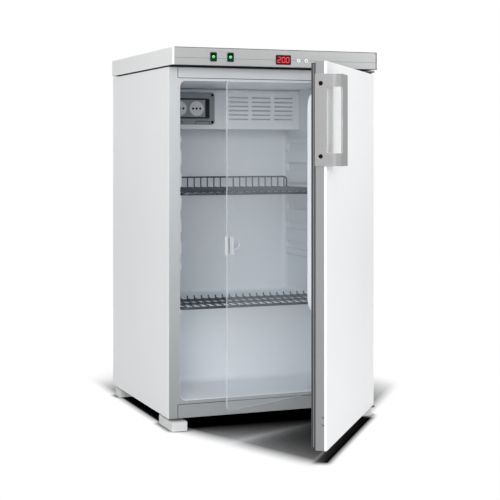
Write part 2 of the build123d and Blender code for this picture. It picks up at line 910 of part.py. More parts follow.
def rocker(x):
    """Rocker with a crowned face and its axle, tilted as it rests when switched on."""
    z = rocker_height
    y = lid_front + rocker_axle_setback
    front = -rocker_axle_setback - bezel_front
    profile = Polyline(
        (front - rocker_crown * 0.4, rocker_length / 2 - 0.6),
        (front + rocker_crown * 0.5, 0),
        (front - rocker_crown * 0.4, -rocker_length / 2 + 0.6),
        (rocker_depth - rocker_axle_setback - 3, -rocker_length / 4),
        (rocker_depth - rocker_axle_setback - 3, rocker_length / 4),
        close=True,
    )
    plane = Plane(origin=(-rocker_width / 2, 0, 0), x_dir=(0, 1, 0), z_dir=(1, 0, 0))
    body = extrude(plane * make_face(profile), rocker_width)
    axle_half = rocker_width / 2 + rocker_gap + 0.8
    body += rod(-axle_half, 0, 0, rocker_axle_radius, 2 * axle_half, "X")
    return Pos(x, y, z) * Rot(rocker_angle, 0, 0) * body


def display_bezel():
    """Rim and body of the temperature display, with a window recess."""
    x, z = display_centre_x, display_centre_z
    front = lid_front - display_front
    rim = front_plate(x, z, display_width, display_height, front, lid_front, display_radius)
    width = display_width - 2 * bezel_body_margin - 0.1
    height = display_height - 2 * bezel_body_margin - 0.1
    rim += block(
        x - width / 2, x + width / 2, lid_front - 0.1, lid_front + display_body_depth,
        z - height / 2, z + height / 2,
    )
    return rim - block(
        x - width / 2 + 1, x + width / 2 - 1, lid_front - display_front - 1, lid_front + 1.5,
        z - height / 2 + 1, z + height / 2 - 1,
    )


def display_window():
    """Window with the number display behind it."""
    x, z = display_centre_x, display_centre_z
    width = display_width - 2 * bezel_body_margin - 2.3
    height = display_height - 2 * bezel_body_margin - 2.3
    return block(
        x - width / 2, x + width / 2, lid_front - display_front + 0.4, lid_front + 1.5,
        z - height / 2, z + height / 2,
    )


def push_button(x):
    """Round button with a collar behind the panel that keeps it in."""
    z = button_height
    back = lid_front + fascia_thickness
    cap = rod(x, lid_front - button_front, z, button_radius, button_front + fascia_thickness + 0.1, "Y")
    cap = chamfer(cap.edges().sort_by(Axis.Y)[0], 0.6)
    return cap + rod(x, back + 0.1, z, button_radius + button_collar, button_collar_thickness, "Y")


def board_face():
    """Distance of the control board behind the lid's front."""
    return lid_front + display_body_depth


def control_board():
    """Circuit board on four stands, with the switches that the buttons press."""
    face = board_face()
    low = lid_bottom + bay_floor + board_margin
    high = lid_top - bay_roof - board_margin
    board = block(board_left, board_right, face, face + board_thickness, low, high)
    for x in button_positions:
        half = switch_body_size / 2
        tip = lid_front + fascia_thickness + 0.1 + button_collar_thickness + button_travel + 0.2
        board += block(x - half, x + half, tip, face, button_height - half, button_height + half)
    wall = lid_front + bay_depth
    for x in (board_left + 6, board_right - 6):
        for z in (low + 5, high - 5):
            board += rod(x, face + board_thickness, z, board_stand_radius, wall - face - board_thickness, "Y")
    return board


def upper_hinge_bracket():
    """Plate with a tab on the front rail and a pin that the door hangs on."""
    x1 = pivot_x + hinge_plate_overhang
    x0 = x1 - hinge_plate_width
    top = cabinet_top - 0.5
    bottom = top - hinge_plate_thickness
    plate = block(x0, x1, lid_front + 0.5, cabinet_front, bottom, top)
    plate = fillet(plate.edges().filter_by(Axis.Z).group_by(Axis.Y)[0], hinge_plate_edge)
    plate += block(x0, x1, cabinet_front - 2.0, cabinet_front, top - hinge_tab_height, top)
    tip = door_top - hinge_pin_length
    return plate + rod(pivot_x, pivot_y, tip, hinge_pin_radius, bottom + 0.5 - tip)


def lower_hinge_bracket():
    """Plate under the base with a pin that carries the door."""
    x1 = pivot_x + hinge_plate_overhang
    x0 = x1 - hinge_plate_width
    bottom = cabinet_bottom - hinge_plate_thickness
    plate = block(x0, x1, lid_front + 0.5, cabinet_front + hinge_tail, bottom, cabinet_bottom)
    plate = fillet(plate.edges().filter_by(Axis.Z).group_by(Axis.Y)[0], hinge_plate_edge)
    root = cabinet_bottom - 0.5
    plate += rod(pivot_x, pivot_y, root, hinge_pin_radius, door_bottom + hinge_pin_length - root)
    washer = rod(pivot_x, pivot_y, root, bush_wall + hinge_pin_radius, door_bottom - hinge_gap - root)
    return plate + washer


def hinge_bushes():
    """Bushes in the top and bottom of the door."""
    bushes = []
    outer = hinge_pin_radius + bush_wall
    bore = hinge_pin_radius + running_clearance
    for z in (door_bottom, door_top - bush_length):
        bush = rod(pivot_x, pivot_y, z, outer, bush_length) - rod(pivot_x, pivot_y, z, bore, bush_length)
        bushes.append(on_door(bush))
    return bushes


def pivot_hole(z, length, radius):
    """Round hole on the door's axis."""
    return rod(pivot_x, pivot_y, z, radius, length)


def door_outer_panel():
    """Front sheet of the door, turned back at all four edges."""
    skin = block(door_left, door_right, lid_front, lid_front + door_skin + 4, door_bottom, door_top)
    upright = skin.edges().filter_by(Axis.Z).filter_by_position(Axis.Y, lid_front, lid_front)
    skin = fillet(upright, door_edge_radius)
    t = door_skin
    skin -= block(door_left + t, door_right - t, lid_front + t, door_back, door_bottom + t, door_top - t)
    hole = hinge_pin_radius + bush_wall + 0.05
    skin -= pivot_hole(door_bottom - 1, bush_length + 1, hole)
    skin -= pivot_hole(door_top - bush_length, bush_length + 1, hole)
    return on_door(skin)


def door_side_profiles():
    """Upright profiles at the free edge and the hinge edge."""
    bars = []
    for x0, x1 in ((door_left, door_left + door_profile_width), (door_right - door_profile_width, door_right)):
        bar = block(x0, x1, lid_front + door_skin, door_back, door_bottom, door_top)
        t = door_skin + 0.02
        bar -= block(door_left, door_left + t, lid_front, lid_front + door_skin + 4.02, door_bottom, door_top)
        bar -= block(door_right - t, door_right, lid_front, lid_front + door_skin + 4.02, door_bottom, door_top)
        for z0, z1 in ((door_bottom, door_bottom + t), (door_top - t, door_top)):
            bar -= block(x0, x1, lid_front, lid_front + door_skin + 4.02, z0, z1)
        back = bar.edges().filter_by(Axis.Z).filter_by_position(Axis.Y, door_back, door_back)
        outer = back.sort_by(Axis.X)[0 if x0 == door_left else -1]
        bar = chamfer([outer], 1.5)
        hole = hinge_pin_radius + bush_wall + 0.05
        bar -= pivot_hole(door_bottom - 1, hinge_pin_length + 3, hole)
        bar -= pivot_hole(door_top - hinge_pin_length - 2, hinge_pin_length + 3, hole)
        bars.append(on_door(bar))
    return bars


def door_end_caps():
    """Bars that close the top and the bottom of the door."""
    caps = []
    x0, x1 = door_left + door_profile_width, door_right - door_profile_width
    t = door_skin + 0.02
    for z0, z1 in ((door_bottom, door_bottom + door_cap_height), (door_top - door_cap_height, door_top)):
        cap = block(x0, x1, lid_front + door_skin, door_back, z0, z1)
        cap -= block(x0, x1, lid_front, lid_front + door_skin + 4.02, door_bottom, door_bottom + t)
        cap -= block(x0, x1, lid_front, lid_front + door_skin + 4.02, door_top - t, door_top)
        hole = hinge_pin_radius + bush_wall + 0.05
        cap -= pivot_hole(door_bottom - 1, hinge_pin_length + 3, hole)
        cap -= pivot_hole(door_top - hinge_pin_length - 2, hinge_pin_length + 3, hole)
        caps.append(on_door(cap))
    return caps


def bulge(inset, depth):
    """Raised middle of the door liner, tapered and rounded; a larger inset gives its inside."""
    x0, x1 = door_left + bulge_inset + inset, door_right - bulge_inset - inset
    z0, z1 = bulge_bottom + inset, bulge_top - inset
    width, height = x1 - x0, z1 - z0
    start = door_back - door_liner_thickness - 0.5
    plane = Plane(origin=((x0 + x1) / 2, start, (z0 + z1) / 2), x_dir=(1, 0, 0), z_dir=(0, 1, 0))
    radius = bulge_corner_radius - inset / 2
    base = plane * RectangleRounded(width, height, radius)
    rise = depth + door_liner_thickness + 0.5
    shape = extrude(base, rise, taper=math.degrees(math.atan(bulge_taper / bulge_depth)))
    return shape


def door_liner():
    """Inner sheet of the door with its raised middle."""
    x0, x1 = door_left + door_profile_width, door_right - door_profile_width
    z0, z1 = door_bottom + door_cap_height, door_top - door_cap_height
    plate = block(x0, x1, door_back - door_liner_thickness, door_back, z0, z1)
    raised = bulge(0, bulge_depth)
    raised = fillet(raised.faces().sort_by(Axis.Y)[-1].edges(), bulge_edge_radius)
    hollow = bulge(3 * door_liner_thickness, bulge_depth - door_liner_thickness)
    hollow += block(x0, x1, door_back - 2 * door_liner_thickness - 2, door_back - door_liner_thickness, z0, z1)
    return on_door(plate + raised - hollow)


def door_insulation():
    """Foam in the door, and in the raised middle of its liner."""
    x0, x1 = door_left + door_profile_width, door_right - door_profile_width
    z0, z1 = door_bottom + door_cap_height, door_top - door_cap_height
    foam = block(x0, x1, lid_front + door_skin, door_back - door_liner_thickness, z0, z1)
    foam += bulge(3 * door_liner_thickness, bulge_depth - door_liner_thickness)
    return on_door(foam)


def door_gasket():
    """Magnetic seal round the back of the door, with a groove along its outer side."""
    back = door_back + gasket_depth - 0.3
    i = gasket_inset
    x0, x1, z0, z1 = door_left + i, door_right - gasket_hinge_inset, door_bottom + i, door_top - i
    ring = block(x0, x1, door_back, back, z0, z1)
    w = gasket_width
    ring -= block(x0 + w, x1 - w, door_back, back, z0 + w, z1 - w)
    g = gasket_groove
    middle = door_back + gasket_depth * 0.45
    band = block(x0, x1, middle - g / 2, middle + g / 2, z0, z1)
    band -= block(x0 + g, x1 - g, middle - g / 2, middle + g / 2, z0 + g, z1 - g)
    return on_door(ring - band)


def handle_plate():
    """Bent plate of the handle: on the door's edge, forwards, and round in front of the door."""
    outer = door_left - handle_thickness
    front = lid_front - handle_reach
    r = handle_bend_radius
    tip = door_left + handle_grip_width
    bend = CenterArc((outer + r, front + r), r, 180, 90)
    line = (
        Line((outer, door_back), (outer, front + r))
        + bend
        + Line((outer + r, front), (tip, front))
    )
    inner_r = r - handle_thickness
    back_bend = CenterArc((outer + r, front + r), inner_r, 180, 90)
    t = handle_thickness
    line += (
        Line((tip, front), (tip, front + t))
        + Line((tip, front + t), (outer + r, front + t))
        + back_bend
        + Line((outer + t, front + r), (outer + t, door_back))
        + Line((outer + t, door_back), (outer, door_back))
    )
    face = make_face(line.edges())
    return extrude(Pos(0, 0, handle_bottom) * face, handle_top - handle_bottom)


def door_handle():
    """Handle on the free edge of the door, with a window for the fingers."""
    plate = handle_plate()
    window = (handle_window_bottom + handle_window_top) / 2
    height = handle_window_top - handle_window_bottom
    outside = door_left - handle_thickness - 1
    reach = 2 * handle_reach
    plane = Plane(origin=(outside, lid_front - 1 - reach / 2, window), x_dir=(0, 1, 0), z_dir=(1, 0, 0))
    hole = RectangleRounded(reach, height, handle_corner_radius)
    plate -= extrude(plane * hole, handle_window_wrap + handle_thickness + 1)
    for z in handle_screw_heights:
        y = (lid_front + door_back) / 2
        plate -= rod(door_left - handle_thickness - 1, y, z, handle_screw_radius + 0.05, 2.0, "X")
    return on_door(plate)


def handle_screws():
    """Two screws that hold the handle."""
    screws = []
    for z in handle_screw_heights:
        y = (lid_front + door_back) / 2
        head = rod(door_left - handle_thickness - 0.4, y, z, handle_screw_radius, 1.4, "X")
        screws.append(on_door(head))
    return screws


def inner_door_panel():
    """Clear panel with round corners at the free edge and a finger hole."""
    left = inner_pivot_x - inner_reach
    right = inner_pivot_x - inner_profile_radius - 0.5
    y0 = inner_pivot_y - inner_panel_thickness / 2
    panel = block(left, right, y0, y0 + inner_panel_thickness, inner_bottom, inner_top)
    free = panel.edges().filter_by(Axis.Y).group_by(Axis.X)[0]
    panel = fillet(free, inner_corner_radius)
    x = left + finger_hole_inset
    panel -= rod(x, y0 - 1, finger_hole_height, finger_hole_radius, inner_panel_thickness + 2, "Y")
    notch = inner_pivot_x - inner_profile_grip
    low = opening_bottom + inner_profile_gap
    high = opening_top - inner_profile_gap
    for z0, z1 in ((inner_bottom, low), (high, inner_top)):
        panel -= block(notch, right, y0, y0 + inner_panel_thickness, z0, z1)
    return on_inner_door(panel)


def inner_door_profile():
    """Profile that grips the panel and carries its two pins."""
    low = opening_bottom + inner_profile_gap
    high = opening_top - inner_profile_gap
    half = inner_profile_thickness / 2
    left = inner_pivot_x - inner_profile_grip
    bar = rod(inner_pivot_x, inner_pivot_y, low, inner_profile_radius, high - low)
    bar += block(left, inner_pivot_x, inner_pivot_y - half, inner_pivot_y + half, low, high)
    slot = inner_panel_thickness / 2 + 0.02
    bar -= block(
        left, inner_pivot_x - inner_profile_radius - 0.4, inner_pivot_y - slot, inner_pivot_y + slot, low, high,
    )
    pin = inner_pin_length + 0.5
    for z in (low - pin, high):
        bar += rod(inner_pivot_x, inner_pivot_y, z, inner_pin_radius, pin)
    return on_inner_door(bar)


def inner_door_catch():
    """Magnet holder clipped over the free edge of the inner door."""
    left = inner_pivot_x - inner_reach
    half = inner_panel_thickness / 2 + catch_thickness
    z0 = finger_hole_height - catch_height / 2 - 2
    z1 = z0 + catch_height
    clip = block(left - catch_thickness, left + catch_width, inner_pivot_y - half, inner_pivot_y + half, z0, z1)
    slot = inner_panel_thickness / 2 + 0.02
    clip -= block(left - 0.02, left + catch_width, inner_pivot_y - slot, inner_pivot_y + slot, z0, z1)
    return on_inner_door(clip)


def inner_door_bearings():
    """Blocks in the corners of the recess that hold the inner door's pins."""
    blocks = []
    edge = opening_width / 2
    bore = inner_pin_radius + running_clearance
    depth = inner_pin_length + 0.7
    low = opening_bottom + inner_profile_gap - 0.5
    high = opening_top - inner_profile_gap + 0.5
    middle = (opening_bottom + opening_top) / 2
    tall = opening_top - opening_bottom
    corner = front_plate(0, middle, opening_width - 0.4, tall - 0.4, cabinet_front, shoulder_y, opening_radius)
    for z0, z1, mouth in ((opening_bottom, low, low - depth), (high, opening_top, high)):
        part = block(edge - 16, edge, shoulder_y - 11, shoulder_y, z0, z1) & corner
        blocks.append(part - rod(inner_pivot_x, inner_pivot_y, mouth, bore, depth))
    return blocks


def foot(side, front, length, neck_setback):
    """Foot block with a neck that carries the base."""
    inner = side * (cabinet_half - foot_inset - foot_width)
    outer = side * (cabinet_half - foot_inset)
    x0, x1 = sorted((inner, outer))
    pad = block(x0, x1, front, front + length, 0, foot_height)
    pad = fillet(pad.edges().filter_by(Axis.Z), foot_radius)
    pad = chamfer(pad.faces().sort_by(Axis.Z)[-1].edges(), 1.0)
    n = foot_neck_inset
    return pad + block(x0 + n, x1 - n, front + neck_setback, front + length - n, foot_height - 1, cabinet_bottom)


def front_feet():
    """Two long feet that reach in front of the cabinet."""
    front = cabinet_front - front_foot_reach
    return [foot(side, front, front_foot_length, foot_neck_setback) for side in (-1, 1)]


def rear_feet():
    """Two short feet at the back."""
    front = cabinet_rear - rear_foot_setback - rear_foot_length
    return [foot(side, front, rear_foot_length, foot_neck_inset) for side in (-1, 1)]


def compressor_foot_places():
    """Corners of the compressor's foot plate."""
    return [
        (compressor_x + i * foot_spread, compressor_y + j * foot_spread) for i in (-1, 1) for j in (-1, 1)
    ]


def compressor():
    """Hermetic shell with a seam, a foot plate and two tube stubs."""
    base = floor_plate + rail_plate_thickness + grommet_height
    low = base + rail_plate_thickness
    r, h = compressor_radius, compressor_height
    outline = [(0, 0), (r - compressor_base_radius, 0), (r, compressor_base_radius)]
    for step in range(compressor_dome_steps + 1):
        angle = math.radians(step * compressor_dome_angle / compressor_dome_steps)
        outline.append((r * math.cos(angle), h - compressor_dome * (1 - math.sin(angle))))
    outline.append((0, h))
    plane = Plane(origin=(compressor_x, compressor_y, low), x_dir=(1, 0, 0), z_dir=(0, -1, 0))
    face = plane * make_face(Polyline(*outline, close=True))
    shell = revolve(face, Axis((compressor_x, compressor_y, 0), (0, 0, 1)))
    seam = low + h * 0.55
    shell += rod(compressor_x, compressor_y, seam, r + seam_width, seam_height)
    reach = foot_spread + grommet_radius
    plate = Pos(compressor_x, compressor_y, base + rail_plate_thickness / 2)
    shell += plate * Box(2 * reach, 2 * reach, rail_plate_thickness)
    stub = low + h * 0.35
    for dx in (-30, 30):
        shell += rod(compressor_x + dx, compressor_y, stub, tube_radius, r + 12, "Y")
    return shell


def compressor_grommets():
    """Rubber mounts under the compressor's foot plate."""
    low = floor_plate + rail_plate_thickness
    return [rod(x, y, low, grommet_radius, grommet_height) for x, y in compressor_foot_places()]


def compressor_rail():
    """Mounting plate under the compressor."""
    low = floor_plate
    return block(
        compressor_x - rail_plate_width / 2, compressor_x + rail_plate_width / 2,
        compressor_y - rail_plate_depth / 2, compressor_y + rail_plate_depth / 2,
        low, low + rail_plate_thickness,
    )


def relay_cover():
    """Start relay and overload protector on the side of the compressor."""
    x0 = compressor_x + compressor_radius * 0.82
    z = floor_plate + compressor_gap + compressor_height * 0.28
    cover = block(
        x0, x0 + relay_width, compressor_y - relay_depth / 2, compressor_y + relay_depth / 2,
        z, z + relay_height,
    )
    low = floor_plate + rail_plate_thickness * 2 + grommet_height
    return cover - rod(compressor_x, compressor_y, low, compressor_radius + seam_width, compressor_height)


def condenser():
    """Tube bent to and fro with upright wires on its rear side, and its feed from the compressor."""
    half = condenser_width / 2
    points = []
    for i in range(condenser_passes):
        z = condenser_bottom + i * condenser_pitch
        ends = (half, -half) if i % 2 == 0 else (-half, half)
        points += [(ends[0], condenser_y, z), (ends[1], condenser_y, z)]
    solids = [wire(points, condenser_tube_radius, setback=condenser_pitch / 3)]
    low = condenser_bottom - 10
    tall = (condenser_passes - 1) * condenser_pitch + 20
    y = condenser_y + condenser_tube_radius + condenser_wire_radius + touch_gap
    for x in spread(condenser_wires, condenser_wire_pitch):
        solids.append(wire([(x, y, low), (x, y, low + tall)], condenser_wire_radius, sides=6))
    return solids + [discharge_tube()]


def condenser_clips():
    """Four stand-offs between the back panel and the condenser."""
    clips = []
    top = condenser_bottom + (condenser_passes - 1) * condenser_pitch
    for x in (-condenser_width / 2 + 40, condenser_width / 2 - 40):
        for z in (condenser_bottom, top):
            end = condenser_y - condenser_tube_radius - touch_gap
            clips.append(block(
                x - clip_width / 2, x + clip_width / 2, cabinet_rear, end, z - clip_height / 2, z + clip_height / 2,
            ))
    return clips


def discharge_tube():
    """Tube from the compressor to the foot of the condenser."""
    stub = floor_plate + rail_plate_thickness * 2 + grommet_height + compressor_height * 0.35
    start_y = compressor_y + compressor_radius + 12 + touch_gap
    x = compressor_x + 30
    end_x = condenser_width / 2
    points = [
        (x, start_y, stub), (x, condenser_y, stub), (end_x + 22, condenser_y, stub),
        (end_x + 22, condenser_y, condenser_bottom), (end_x + touch_gap, condenser_y, condenser_bottom),
    ]
    return wire(points, condenser_tube_radius, setback=discharge_bend)


def filter_drier():
    """Drier in the return line, on a bracket at the back of the niche."""
    y = cabinet_rear - 24
    z = niche_top - drier_length - 24
    body = rod(drier_x, y, z, drier_radius, drier_length)
    body = chamfer(body.edges().filter_by(GeomType.CIRCLE), drier_radius * 0.5)
    body += rod(drier_x, y, z - 12, tube_radius, drier_length + 24)
    return body + block(drier_x - 6, drier_x + 6, y + drier_radius - 3, y + drier_radius + 1.5, z + 30, niche_top)


def junction_box():
    """Box for the mains connections in the niche."""
    rear = cabinet_rear - 1
    box = block(
        junction_x - junction_width / 2, junction_x + junction_width / 2, rear - junction_depth, rear,
        floor_plate, floor_plate + junction_height,
    )
    box = fillet(box.edges().filter_by(Axis.Y), 3.0)
    z = floor_plate + junction_height / 2
    return box - block(
        junction_x - inlet_width / 2 - 0.1, junction_x + inlet_width / 2 + 0.1, rear - inlet_depth, rear + 1,
        z - inlet_height / 2 - 0.1, z + inlet_height / 2 + 0.1,
    )


def power_inlet():
    """Mains inlet with three pins in the rear of the junction box."""
    rear = cabinet_rear - 1
    z = floor_plate + junction_height / 2
    w, h = inlet_width / 2, inlet_height / 2
    inlet = block(junction_x - w, junction_x + w, rear - inlet_depth, rear, z - h, z + h)
    f, t = inlet_flange, inlet_wall
    inlet += block(
        junction_x - w - f, junction_x + w + f, rear, rear + inlet_flange_thickness, z - h - f, z + h + f,
    )
    inlet -= block(
        junction_x - w + t, junction_x + w - t, rear - inlet_depth + t, rear + f, z - h + t, z + h - t,
    )
    for dx, dz in ((-inlet_pin_gap, -2.0), (0, 3.5), (inlet_pin_gap, -2.0)):
        pin = Pos(junction_x + dx, rear - inlet_depth / 2 - 1, z + dz)
        inlet += pin * Box(inlet_pin_width, inlet_depth - 2, inlet_pin_height)
    return inlet


NODES = {
    "left_side_panel": lambda: side_panel(-1),
    "right_side_panel": lambda: side_panel(1),
    "top_panel": top_panel,
    "front_top_rail": front_top_rail,
    "front_kick_panel": front_kick_panel,
    "back_panel": back_panel,
    "base_pan": base_pan,
    "niche_panel": niche_panel,
    "inner_liner": inner_liner,
    "shelf_supports": shelf_supports,
    "cabinet_insulation": cabinet_insulation,
    "evaporator_cover": evaporator_cover,
    "socket_box": socket_box,
    "socket_window_seal": socket_window_seal,
    "socket_modules": socket_modules,
    "socket_screws": socket_screws,
    "fan_frame": fan_frame,
    "fan_impeller": fan_impeller,
    "evaporator": evaporator,
    "heater_element": heater_element,
    "temperature_probe": temperature_probe,
    "upper_shelf_wires": upper_shelf,
    "lower_shelf_wires": lower_shelf,
    "worktop": worktop,
    "control_fascia": control_fascia,
    "power_switch_bezel": lambda: switch_bezel(rocker_positions[0]),
    "socket_switch_bezel": lambda: switch_bezel(rocker_positions[1]),
    "power_rocker_key": lambda: rocker(rocker_positions[0]),
    "socket_rocker_key": lambda: rocker(rocker_positions[1]),
    "display_bezel": display_bezel,
    "display_window": display_window,
    "up_button_cap": lambda: push_button(button_positions[0]),
    "down_button_cap": lambda: push_button(button_positions[1]),
    "control_board": control_board,
    "upper_hinge_bracket": upper_hinge_bracket,
    "lower_hinge_bracket": lower_hinge_bracket,
    "hinge_bushes": hinge_bushes,
    "door_outer_panel": door_outer_panel,
    "door_side_profiles": door_side_profiles,
    "door_end_caps": door_end_caps,
    "door_liner": door_liner,
    "door_insulation": door_insulation,
    "door_gasket": door_gasket,
    "door_handle": door_handle,
    "handle_screws": handle_screws,
    "inner_door_panel": inner_door_panel,
    "inner_door_profile": inner_door_profile,
    "inner_door_catch": inner_door_catch,
    "inner_door_bearings": inner_door_bearings,
    "front_feet": front_feet,
    "rear_feet": rear_feet,
    "compressor": compressor,
    "compressor_grommets": compressor_grommets,
    "compressor_rail": compressor_rail,
    "relay_cover": relay_cover,
    "condenser": condenser,
    "condenser_clips": condenser_clips,
    "filter_drier": filter_drier,
    "junction_box": junction_box,
    "power_inlet": power_inlet,
}


def write_parts():
    """Builds every sub-part and writes one STEP file for each."""
    os.makedirs("parts", exist_ok=True)
    for name, make in NODES.items():
        made = make()
        solids = made if isinstance(made, list) else [made]
        pieces = [solid for shape in solids for solid in shape.solids()]
        shape = pieces[0] if len(pieces) == 1 else Compound(children=pieces)
        export_step(shape, f"parts/{name}.step")


write_parts()
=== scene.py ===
import json
import math

import bmesh
import bpy
from bpy.props import FloatProperty, FloatVectorProperty, IntProperty, PointerProperty
from mathutils import Matrix, Vector

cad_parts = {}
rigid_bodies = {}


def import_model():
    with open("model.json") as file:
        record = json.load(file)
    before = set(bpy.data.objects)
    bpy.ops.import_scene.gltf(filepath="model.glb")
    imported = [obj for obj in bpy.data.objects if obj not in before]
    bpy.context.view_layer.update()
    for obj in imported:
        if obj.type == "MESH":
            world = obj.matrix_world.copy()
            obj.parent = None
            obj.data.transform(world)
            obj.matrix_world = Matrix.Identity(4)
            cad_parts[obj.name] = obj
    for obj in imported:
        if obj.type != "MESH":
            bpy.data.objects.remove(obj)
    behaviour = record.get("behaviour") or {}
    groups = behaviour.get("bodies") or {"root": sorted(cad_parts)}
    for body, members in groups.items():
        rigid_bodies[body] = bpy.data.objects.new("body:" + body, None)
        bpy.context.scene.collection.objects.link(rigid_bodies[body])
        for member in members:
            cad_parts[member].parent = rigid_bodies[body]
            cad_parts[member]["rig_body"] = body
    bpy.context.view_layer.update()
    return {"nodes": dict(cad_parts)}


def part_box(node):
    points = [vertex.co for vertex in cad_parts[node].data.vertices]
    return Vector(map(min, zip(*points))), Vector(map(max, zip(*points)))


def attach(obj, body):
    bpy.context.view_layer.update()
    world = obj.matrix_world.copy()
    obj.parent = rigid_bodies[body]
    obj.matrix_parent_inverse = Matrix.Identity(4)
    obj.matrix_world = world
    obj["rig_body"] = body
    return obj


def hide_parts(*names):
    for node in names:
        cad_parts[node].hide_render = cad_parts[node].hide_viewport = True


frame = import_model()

bl_info = {
    "name": "Cooled laboratory incubator",
    "version": (1, 0, 0),
    "blender": (4, 5, 0),
    "location": "3D View > Sidebar > Incubator",
    "description": "Dresses the packed model of an under-bench laboratory incubator",
    "category": "Add Mesh",
}

# Lengths are in metres. Angles are given in degrees and turned into radians.
MM = 0.001

# The two doors: their hinge axes, and how far each stands open in the rest pose.
DOOR_AXIS = Vector((0.236, -0.2445, 0.0))
DOOR_OPEN = math.radians(52.33)
DOOR_OUTWARD = Vector((math.sin(DOOR_OPEN), -math.cos(DOOR_OPEN), 0))
INNER_AXIS = Vector((0.2195, -0.191, 0.0))
INNER_OPEN = math.radians(26.2)
INNER_REACH = 0.441

# The outer door while it is closed: free edge, front face and back of its edge profile.
DOOR_FREE_EDGE = -0.2495
DOOR_FRONT = -0.2505
DOOR_BACK = -0.2271
DOOR_WIDTH = 0.490
HANDLE_PLATE = 0.003

# The camera stands where the photographer stood.
CAMERA_PLACE = (-1.13885, -2.97805, 0.6257)
CAMERA_TURN = -21.4
CAMERA_LENS = 93.41
CAMERA_SENSOR = 36
CAMERA_SHIFT = -0.1994

# Each lamp: name, place, point that it faces, diameter.
LAMPS = (
    ("Key", (-1.5, -3.3, 1.5), (0.0, 0.0, 0.4), 2.2),
    ("Fill", (2.4, -2.6, 1.4), (0.1, -0.2, 0.4), 2.0),
    ("Top", (0.1, -0.5, 2.9), (0.0, -0.1, 0.4), 2.2),
    ("Rear", (0.6, 2.8, 1.6), (0.0, 0.1, 0.4), 2.2),
)


# User values

def tone(label, text, rgb):
    """A colour property, given in linear light."""
    return FloatVectorProperty(
        name=label, description=text, subtype="COLOR", size=3, min=0, max=1, default=rgb)


def length(label, text, millimetres):
    """A length property, given in millimetres."""
    return FloatProperty(name=label, description=text, default=millimetres * MM, min=0, unit="LENGTH")


def number(label, text, value, least):
    """A whole number with its smallest value."""
    return IntProperty(name=label, description=text, default=value, min=least)


def power(label, text, value):
    """The strength of a light."""
    return FloatProperty(name=label, description=text, default=value, min=0)


